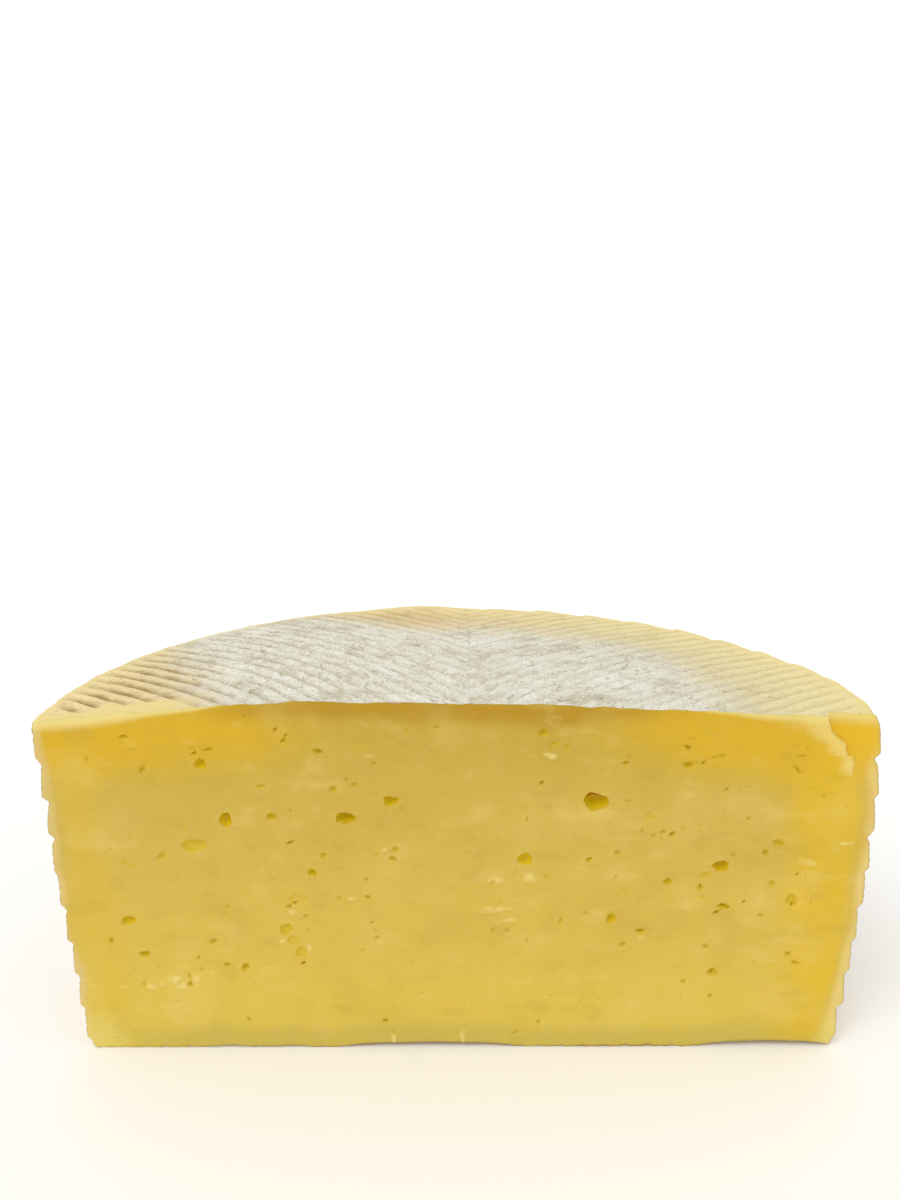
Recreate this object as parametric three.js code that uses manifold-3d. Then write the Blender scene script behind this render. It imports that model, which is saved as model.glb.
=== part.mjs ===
// Half a wheel of pressed sheep's milk cheese, cut straight through its middle.
// Millimetres, +Z up. The wheel stands on its base and the cut face looks towards -Y.
// The rim carries the herringbone of a plaited grass band, the top and the base the
// chevron of ridged pressing boards, and the cut face the eyes of the paste.

import * as THREE from 'three';
import { mergeVertices } from 'three/addons/utils/BufferGeometryUtils.js';
import Module from 'manifold-3d';

const wasm = await Module();
wasm.setup();

// The wheel
const RIM_RADIUS = 100.25;        // to the crests of the rim's ribs, without the bulge
const RIM_HEIGHT = 93.8;          // base to the edge of the top
const DOME_RISE = 4.8;            // the middle of the top over its edge
const BULGE_LEAST = 0.7;          // barrel bulge at the left end of the cut
const BULGE_MOST = 2.0;           // barrel bulge at the right end of the cut
const BULGE_HEIGHT = 52;          // height where the rim is widest
const BULGE_REACH = 48;           // and how far above and below that it bulges
const LEAN = 0.45;                // the rim leans this far to the left over half its height
const PASTE_COLOUR = 0xdcb951;

// The plaited band's print on the rim
const RIB_COUNT = 42;             // slanted ribs round the whole wheel
const RIB_DEPTH = 1.15;           // rib crest to groove floor
const BAND_HEIGHT = 20.1;         // one row of the herringbone
const FIRST_BORDER = 2;           // where the lowest row starts above the base
const BORDER_DEPTH = 0.3;         // how much deeper a border is than a rib's groove
const RIBS_PER_LEAN = 2;          // a rib leans over two rib widths in one row
const SHOULDER = 0.1;             // share of a row between its border and full ribs

// The pressing boards' print on the top and the base: a left and a right set of ridges that
// make a chevron. The ridges of a set are arcs about one centre, evenly spaced. A set has
// its centre, the spacing, the share of it at which a ridge lies, the first and the last
// ridge, and the side of the wheel that it covers.
const CHEVRON_X = 3;              // the line where the two sets meet
const RIDGE_SETS = [
    { x: -174.8, y: -94.4, pitch: 4.617, start: 0.583, first: 24, last: 59, side: -1 },
    { x: 172.9, y: -117.0, pitch: 4.467, start: 0.274, first: 29, last: 64, side: 1 },
];
const GROOVE_DEPTH = 0.45;
const SMOOTH_MARGIN = 0.88;       // share of the radius where the base's print stops

// The cut face
const TEAR_DEPTH = 1.8;           // the torn top right corner lies this far back
const TEAR_FOOT = 75.5;           // height where the torn face runs out
const EYE_SIDES = 9;
const EYE_ROWS = 6;

// The larger eyes: place on the cut face from the wheel's axis and the base, width,
// height, tilt in degrees, and how far in they reach.
const EYES = [
    [33.5, 72.3, 6.2, 4.6, 0, 4.0],
    [-27.5, 68.3, 4.6, 3.2, -8, 3.0],
    [65.3, 54.7, 4.4, 2.9, 0, 2.6],
    [-56.8, 67.8, 3.4, 3.6, 0, 2.4],
    [-65.2, 60.8, 6.0, 3.8, 8, 1.0],
    [16.7, 56.6, 3.7, 3.6, 0, 2.0],
    [-16.6, 72.7, 2.7, 2.9, 0, 2.2],
    [-84.2, 39.6, 3.7, 2.7, 12, 1.7],
    [83.8, 45.0, 3.5, 3.0, -35, 1.4],
    [66.6, 42.5, 3.8, 2.2, 22, 1.5],
    [-44.0, 36.6, 3.5, 3.6, 0, 1.4],
    [-41.0, 31.2, 3.0, 7.6, 8, 0.8],
    [-41.4, 44.6, 4.8, 2.8, 0, 0.9],
    [-61.5, 82.7, 2.7, 3.0, 0, 2.0],
    [38.8, 39.5, 2.6, 2.8, 0, 1.6],
    [-36.4, 53.2, 2.4, 2.0, -35, 1.6],
    [-81.2, 29.5, 2.8, 1.8, 8, 1.5],
    [46.4, 36.1, 2.3, 1.4, -8, 1.4],
    [65.8, 23.5, 3.2, 2.2, -35, 1.2],
    [52.4, 50.4, 2.3, 1.9, 0, 1.5],
    [20.3, 90.2, 2.7, 1.8, 15, 1.2],
    [55.0, 81.8, 2.6, 1.9, 0, 1.2],
    [-55.4, 25.5, 2.1, 2.5, 0, 1.2],
    [-45.5, 68.6, 2.9, 1.9, 0, 1.2],
    [-33.2, 85.7, 2.3, 1.3, -15, 1.2],
    [79.0, 61.0, 3.2, 1.8, -20, 0.9],
];

// The left edge of the torn corner, from the top down, as places on the cut face.
const TEAR_EDGE = [
    [86.4, 100], [86.9, 92.6], [88.3, 90.0], [90.2, 88.2],
    [92.0, 86.8], [92.2, 84.2], [94.2, 83.6], [94.0, 80.4],
];

// Blends from 0 to 1 as a value passes from one limit to the other.
function blend(low, high, value) {
    const t = THREE.MathUtils.clamp((value - low) / (high - low), 0, 1);
    return t * t * (3 - 2 * t);
}

// A closed mesh as a solid that can be joined and cut.
function toSolid(geometry) {
    const bare = geometry.clone();
    bare.deleteAttribute('normal');
    bare.deleteAttribute('uv');
    const merged = mergeVertices(bare, 1e-5);
    return new wasm.Manifold(new wasm.Mesh({
        numProp: 3,
        vertProperties: new Float32Array(merged.attributes.position.array),
        triVerts: new Uint32Array(merged.index.array),
    }));
}

// A solid as a three.js mesh geometry.
function toGeometry(solid) {
    const mesh = solid.getMesh();
    const geometry = new THREE.BufferGeometry();
    geometry.setAttribute('position', new THREE.BufferAttribute(new Float32Array(mesh.vertProperties), 3));
    geometry.setIndex(new THREE.BufferAttribute(new Uint32Array(mesh.triVerts), 1));
    geometry.computeVertexNormals();
    return geometry;
}

// A geometry from points and the four-cornered or three-cornered faces between them.
function fromFaces(points, faces) {
    const index = [];
    for (const face of faces) {
        for (let corner = 2; corner < face.length; corner += 1) {
            index.push(face[0], face[corner - 1], face[corner]);
        }
    }
    const geometry = new THREE.BufferGeometry();
    geometry.setAttribute('position', new THREE.BufferAttribute(new Float32Array(points.flat()), 3));
    geometry.setIndex(index);
    return geometry;
}

// How far a rib stands up across its width: slow up from its upper groove, then a
// sharp step in on its underside. A rib that leans the other way is its mirror.
function ribHeight(phase, leansRight) {
    const across = leansRight ? phase : 1 - phase;
    return across < 0.84 ? across / 0.84 : (1 - across) / 0.16;
}

// Uneven grooves: the one above each rib is a little deeper or flatter than its neighbours.
function grooveShare(rib, band) {
    return 0.9 + 0.3 * Math.sin(rib * 2.4 + band * 1.9) + 0.15 * Math.sin(rib * 5.3 - band * 3.1);
}

// The radius of the barrel without its print: fuller on the right, and leaning to the left.
function barrelRadius(angle, height) {
    const most = (BULGE_LEAST + BULGE_MOST) / 2 + (BULGE_MOST - BULGE_LEAST) / 2 * Math.cos(angle);
    const bulge = most * (1 - ((height - BULGE_HEIGHT) / BULGE_REACH) ** 2);
    return RIM_RADIUS + bulge - LEAN * Math.cos(angle) * (height - RIM_HEIGHT / 2) / (RIM_HEIGHT / 2);
}

// The rows of the rim's grid from the base up. Each has its height, the share of the
// rib relief that it shows, and how far the edges' rounding pulls it in.
function rimRows() {
    const rows = [
        { height: -6, relief: 0.8, inset: 8, border: false },
        { height: -0.5, relief: 0.8, inset: 0.7, border: false },
        { height: FIRST_BORDER, relief: 0.8, inset: 0, border: false },
    ];
    for (let band = 0; FIRST_BORDER + band * BAND_HEIGHT < RIM_HEIGHT; band += 1) {
        const foot = FIRST_BORDER + band * BAND_HEIGHT;
        if (band > 0) {
            rows.push({ height: foot, relief: 0, inset: 0, border: true });
        }
        for (const share of [SHOULDER, 0.5, 1 - SHOULDER]) {
            const height = foot + share * BAND_HEIGHT;
            if (height < RIM_HEIGHT - 1) {
                rows.push({ height, relief: share === 0.5 ? 1 : 0.85, inset: 0, border: false });
            }
        }
    }
    rows.push({ height: RIM_HEIGHT - 0.5, relief: 0.7, inset: 0.2, border: false });
    rows.push({ height: RIM_HEIGHT + 0.6, relief: 0.7, inset: 0.8, border: false });
    rows.push({ height: RIM_HEIGHT + 4, relief: 0, inset: 8, border: false });
    return rows;
}

// The wheel out to its printed rim. The grid's columns follow the ribs, so they run up
// the rim in zigzags, one lean for each row of the herringbone.
function rimSolid() {
    const phases = [0, 0.16, 0.5, 0.84];
    const columns = RIB_COUNT * phases.length;
    const rows = rimRows();
    const points = [];
    for (const row of rows) {
        const along = (row.height - FIRST_BORDER) / BAND_HEIGHT;
        const band = Math.max(0, Math.floor(along + 1e-6));
        const share = THREE.MathUtils.clamp(along - band, 0, 1);
        const lean = RIBS_PER_LEAN * (band % 2 === 0 ? share : 1 - share);
        for (let column = 0; column < columns; column += 1) {
            const rib = Math.floor(column / phases.length);
            const phase = phases[column % phases.length];
            const angle = (rib + phase + lean) / RIB_COUNT * 2 * Math.PI;
            const wave = 0.5 * Math.sin(5 * angle + 1.7 * band);
            const height = row.border ? row.height + wave : row.height;
            const groove = grooveShare(rib, band) * (1 - ribHeight(phase, band % 2 === 0));
            const sunk = RIB_DEPTH * (1 - row.relief * (1 - groove)) + (row.border ? BORDER_DEPTH : 0);
            const radius = barrelRadius(angle, height) - sunk - row.inset;
            points.push([radius * Math.cos(angle), radius * Math.sin(angle), height]);
        }
    }
    const faces = [];
    for (let row = 0; row + 1 < rows.length; row += 1) {
        for (let column = 0; column < columns; column += 1) {
            const next = (column + 1) % columns;
            const a = row * columns + column;
            const b = row * columns + next;
            faces.push([a, b, b + columns, a + columns]);
        }
    }
    const foot = points.push([0, 0, -6]) - 1;
    const peak = points.push([0, 0, RIM_HEIGHT + 14]) - 1;
    const last = (rows.length - 1) * columns;
    for (let column = 0; column < columns; column += 1) {
        const next = (column + 1) % columns;
        faces.push([foot, next, column]);
        faces.push([peak, last + column, last + next]);
    }
    return toSolid(fromFaces(points, faces));
}

// The domed top without its print: high left of the middle, a little sunken right of it.
function topHeight(x, y) {
    const reach = Math.min(1, Math.hypot(x, y) / 100);
    const dome = DOME_RISE * (1 - reach * reach);
    const rise = 0.45 * Math.exp(-(((x + 50) / 18) ** 2));
    const sunk = 1.25 * blend(-45, 5, x) * (1 - blend(72, 100, x));
    const back = 1 - 0.5 * blend(0, 90, y);
    return RIM_HEIGHT + dome + (rise - sunk) * back;
}

// The print is deepest on the left, faint on the right, and fades out towards the rim.
function grooveDepth(x, y) {
    const left = 1 - 0.55 * blend(-60, 70, x);
    const rim = 1 - 0.7 * blend(0.84, 0.97, Math.hypot(x, y) / 100);
    return GROOVE_DEPTH * left * rim;
}

// A closed body between a sheet of points in rows and a flat face beyond it.
function sheetSolid(rowCount, columnCount, pointAt, flatHeight) {
    const points = [];
    for (const level of [0, 1]) {
        for (let row = 0; row < rowCount; row += 1) {
            for (let column = 0; column < columnCount; column += 1) {
                const [x, y, z] = pointAt(row, column);
                points.push([x, y, level === 0 ? flatHeight : z]);
            }
        }
    }
    const size = rowCount * columnCount;
    const faces = [];
    for (let row = 0; row + 1 < rowCount; row += 1) {
        for (let column = 0; column + 1 < columnCount; column += 1) {
            const a = row * columnCount + column;
            faces.push([a, a + columnCount, a + columnCount + 1, a + 1]);
            faces.push([size + a, size + a + 1, size + a + columnCount + 1, size + a + columnCount]);
        }
    }
    const border = [];
    for (let column = 0; column < columnCount; column += 1) border.push(column);
    for (let row = 1; row < rowCount; row += 1) border.push(row * columnCount + columnCount - 1);
    for (let column = columnCount - 2; column >= 0; column -= 1) border.push((rowCount - 1) * columnCount + column);
    for (let row = rowCount - 2; row > 0; row -= 1) border.push(row * columnCount);
    border.forEach((corner, place) => {
        const next = border[(place + 1) % border.length];
        faces.push([corner, next, size + next, size + corner]);
    });
    return toSolid(fromFaces(points, faces));
}

// Where an arc of a set of ridges crosses a line of constant x. Lines that the arc doesn't
// reach are crossed by a straight run that goes on from it, in front of the wheel.
function arcPlace(set, radius, x) {
    const least = 60;
    const square = radius ** 2 - (x - set.x) ** 2;
    const rise = square > least ** 2 ? Math.sqrt(square) : (square + least ** 2) / (2 * least);
    return set.y + rise;
}

// A closed body between a flat face and one set of ridges. Its rows run along the ridges
// and grooves in turn, and heightAt gives the height of each of their points.
function ridgedSolid(set, columnCount, heightAt, flatHeight) {
    const rowCount = 2 * (set.last - set.first) + 1;
    return sheetSolid(rowCount, columnCount, (row, column) => {
        const share = column / (columnCount - 1);
        const x = set.side < 0 ? -108 + (CHEVRON_X + 108) * share : CHEVRON_X + (108 - CHEVRON_X) * share;
        const y = arcPlace(set, (set.first + set.start + row / 2) * set.pitch, x);
        return [x, y, heightAt(x, y, row % 2 === 1)];
    }, flatHeight);
}

// Everything under the printed top.
function topSolid() {
    const halves = RIDGE_SETS.map((set) => ridgedSolid(set, 9, (x, y, inGroove) => (
        topHeight(x, y) - (inGroove ? grooveDepth(x, y) : 0)
    ), -20));
    return halves[0].add(halves[1]);
}

// The grooves of the base: combs whose teeth stand up through it, trimmed to a disc.
function baseGrooves() {
    const halves = RIDGE_SETS.map((set) => ridgedSolid(set, 6, (x, y, inGroove) => (
        inGroove ? GROOVE_DEPTH : -GROOVE_DEPTH
    ), -12));
    const disc = new THREE.CylinderGeometry(SMOOTH_MARGIN * 100, SMOOTH_MARGIN * 100, 8, 48);
    disc.rotateX(Math.PI / 2);
    return halves[0].add(halves[1]).intersect(toSolid(disc));
}

// The space behind the cut, standing on the base.
function halfSpace() {
    const reach = 130;
    const box = new THREE.BoxGeometry(2 * reach, reach, 2 * reach);
    box.translate(0, reach / 2, reach);
    return toSolid(box);
}

// One eye: a lens-shaped hollow, half of it in the paste.
function eyeSolid([x, z, width, height, tilt, depth]) {
    const eye = new THREE.SphereGeometry(1, EYE_SIDES, EYE_ROWS);
    eye.rotateX(Math.PI / 2);
    eye.scale(width / 2, depth, height / 2);
    eye.rotateY(-THREE.MathUtils.degToRad(tilt));
    eye.translate(x, 0, z);
    return toSolid(eye);
}

// What broke away at the top right corner: a wedge, deepest at the top.
function tornCorner() {
    const outline = [...TEAR_EDGE, [95.5, TEAR_FOOT], [112, TEAR_FOOT], [112, 100]];
    const shape = new THREE.Shape(outline.map(([x, z]) => new THREE.Vector2(x, z)));
    const wedge = new THREE.ExtrudeGeometry(shape, { depth: 1, bevelEnabled: false });
    const place = wedge.attributes.position;
    for (let corner = 0; corner < place.count; corner += 1) {
        const z = place.getY(corner);
        const back = TEAR_DEPTH * (z - TEAR_FOOT) / (RIM_HEIGHT - TEAR_FOOT);
        place.setXYZ(corner, place.getX(corner), place.getZ(corner) > 0.5 ? -2 : back, z);
    }
    return toSolid(wedge);
}

// The hollow under the base where its cut edge is lifted off what it stands on.
function baseLift(x, width, height, depth) {
    const lift = new THREE.SphereGeometry(1, 16, 8);
    lift.scale(width / 2, depth, height);
    lift.translate(x, 0, 0);
    return toSolid(lift);
}

function halfWheel() {
    let cheese = halfSpace().intersect(rimSolid()).intersect(topSolid());
    cheese = cheese.subtract(baseGrooves());
    cheese = cheese.subtract(baseLift(-8, 46, 1.5, 9));
    cheese = cheese.subtract(baseLift(82, 36, 1.8, 9));
    cheese = cheese.subtract(tornCorner());
    for (const eye of EYES) {
        cheese = cheese.subtract(eyeSolid(eye));
    }
    return toGeometry(cheese);
}

const geometry = halfWheel();
geometry.computeBoundingBox();
const { min, max } = geometry.boundingBox;

const material = new THREE.MeshStandardMaterial({
    color: PASTE_COLOUR,
    roughness: 0.55,
    metalness: 0,
    flatShading: true,
});

const cheese = new THREE.Mesh(geometry, material);
cheese.name = 'half_wheel';
cheese.position.set(-(min.x + max.x) / 2, -(min.y + max.y) / 2, -min.z);

const group = new THREE.Group();
group.add(cheese);

export default group;
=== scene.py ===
"""The looks of half a wheel of pressed sheep's milk cheese, around its CAD part.

Shapes are worked out in the wheel's own millimetres: its axis stands at x = 0, y = 0, the cut
lies in the plane y = 0 and looks towards -Y, and the base lies at z = 0. The cheese is one
body, made here as four thick surfaces that meet along its natural edges: the cut face, the
rim, the top and the base.
"""

import math

import bpy
import numpy as np
from mathutils import Matrix, Vector


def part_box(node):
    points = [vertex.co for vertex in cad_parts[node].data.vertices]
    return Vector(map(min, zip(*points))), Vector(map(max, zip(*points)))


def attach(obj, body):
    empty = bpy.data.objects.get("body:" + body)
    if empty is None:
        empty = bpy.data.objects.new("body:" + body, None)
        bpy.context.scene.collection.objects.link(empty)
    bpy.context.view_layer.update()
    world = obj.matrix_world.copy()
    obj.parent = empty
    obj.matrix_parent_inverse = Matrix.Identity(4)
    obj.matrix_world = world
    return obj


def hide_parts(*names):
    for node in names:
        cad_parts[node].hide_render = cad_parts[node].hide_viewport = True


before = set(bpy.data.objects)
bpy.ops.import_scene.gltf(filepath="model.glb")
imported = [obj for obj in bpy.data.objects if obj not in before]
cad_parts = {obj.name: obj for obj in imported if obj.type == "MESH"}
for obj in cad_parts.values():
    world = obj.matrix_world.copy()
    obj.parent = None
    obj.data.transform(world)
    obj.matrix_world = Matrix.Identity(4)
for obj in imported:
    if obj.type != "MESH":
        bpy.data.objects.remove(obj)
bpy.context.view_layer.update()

NODE = "half_wheel"

# The wheel, as in the CAD part
RIM_RADIUS = 100.25        # to the crests of the rim's ribs, without the bulge
RIM_HEIGHT = 93.8          # base to the edge of the top
DOME_RISE = 4.8            # the middle of the top over its edge
BULGE_LEAST = 0.7          # barrel bulge at the left end of the cut
BULGE_MOST = 2.0           # barrel bulge at the right end of the cut
BULGE_HEIGHT = 52.0        # height where the rim is widest
BULGE_REACH = 48.0         # and how far above and below that it bulges
LEAN = 0.45                # the rim leans this far to the left over half its height
TOP_ROUND = 1.2            # the edge between rim and top is rounded over this length
FOOT_ROUND = 1.3           # and the edge between rim and base over this one

# The plaited band's print on the rim
RIB_COUNT = 42             # slanted ribs round the whole wheel
RIB_DEPTH = 1.15           # rib crest to groove floor
BAND_HEIGHT = 20.1         # one row of the herringbone
FIRST_BORDER = 2.0         # where the lowest row starts above the base
BORDER_DEPTH = 0.3         # how much deeper a border is than a rib's groove
BORDER_WAVE = 0.5          # how far a border wanders up and down
RIBS_PER_LEAN = 2          # a rib leans over two rib widths in one row
SHOULDER = 0.1             # share of a row between its border and full ribs
RIB_CREST = 0.8            # where across its width a rib is highest
STRANDS = 4                # straws side by side in one rib
STRAND_DEPTH = 0.16
WORN_PATCH = 8.0           # the print is pressed in unevenly, in patches of this size

# The pressing boards' print on the top and the base: a left and a right set of ridges that make
# a chevron. The ridges of a set are arcs about one centre. A set has that centre, the spacing of
# its ridges and the share of it at which a ridge lies.
CHEVRON_X = 3.0            # the line where the two sets meet
LEFT_RIDGES = (-174.8, -94.4, 4.617, 0.583)
RIGHT_RIDGES = (172.9, -117.0, 4.467, 0.274)
RIDGE_RADIUS = 200.0       # about how far the ridges lie from their centre
RIDGE_PITCH = 4.5          # about how far they lie from each other
TOP_GROOVE = 1.0           # depth of the top's print
BASE_GROOVE = 0.45         # and of the base's
RIGHT_COUNT = 4            # the right set is counted from this many ridges further out
SLOW_SLOPE = 0.72          # share of the spacing that a groove takes to rise to the next ridge
PRINT_FADE = 0.74          # share of the top's print that is gone right of the middle
RIM_WEAR = 0.85            # and at the rim
SMEAR_LEAST = 5.0          # width of the smeared margin at the rim
SMEAR_MORE = 3.5           # and how much wider it gets further in
SMOOTH_MARGIN = 88.0       # radius where the base's print stops
BLOOM_RADIUS = 67.0        # the white bloom on the top reaches this far right of its middle
BLOOM_LEFT = 57.0          # its left edge starts this far left of the middle of the cut
BLOOM_SLANT = 0.34         # and goes this much further left for each mm back
LEFT_SWELL = 0.45          # the top is this much higher left of its middle
RIGHT_SINK = 1.25          # and this much lower right of it
EDGE_NOTCH = 0.4           # notches of the band's ribs in the top's edge
NOTCHED_ARC = (18, 30, 78, 90)      # degrees round the axis where that edge is notched
BACK_RISE = 0.9            # rise of that edge at the back

# The cut face
TEAR_DEPTH = 1.8           # the torn top right corner lies this far back
TEAR_FOOT = 75.5           # height where the torn face runs out
TEAR_EDGE = ((86.4, 100), (86.9, 92.6), (88.3, 90.0), (90.2, 88.2), (92.0, 86.8), (92.2, 84.2),
             (94.2, 83.6), (94.0, 80.4), (95.5, 75.5))
SIDE_ROUND = 1.1           # the cut's upright edges are rounded over this length
CRISP_ROUND = 0.8          # and its top and bottom edges over this one
SIDE_FALL = 0.45           # the upright edges fall back this far
CRISP_FALL = 0.3           # and the other two this far
MOST_PROUD = 0.45          # nothing stands further out of the cut than this
CUT_ROUGH = 0.13           # roughness right of the middle
KNIFE_LINES = 0.018        # fine lines left by the knife
LIP_LEAST = 3.8            # width of the lip beside the torn corner at its foot
LIP_MORE = 4.0             # and how much wider it gets at the top
CRISP_EYE = 1.6            # eyes at least this wide and high get a crisp outline
BASE_CHIP = 0.8            # depth of the chips in the cut edge of the base
# Where the cut edge of the base is lifted: place, width, height and depth
LIFTS = ((-8, 46, 1.5, 9), (82, 36, 1.8, 9))

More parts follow.
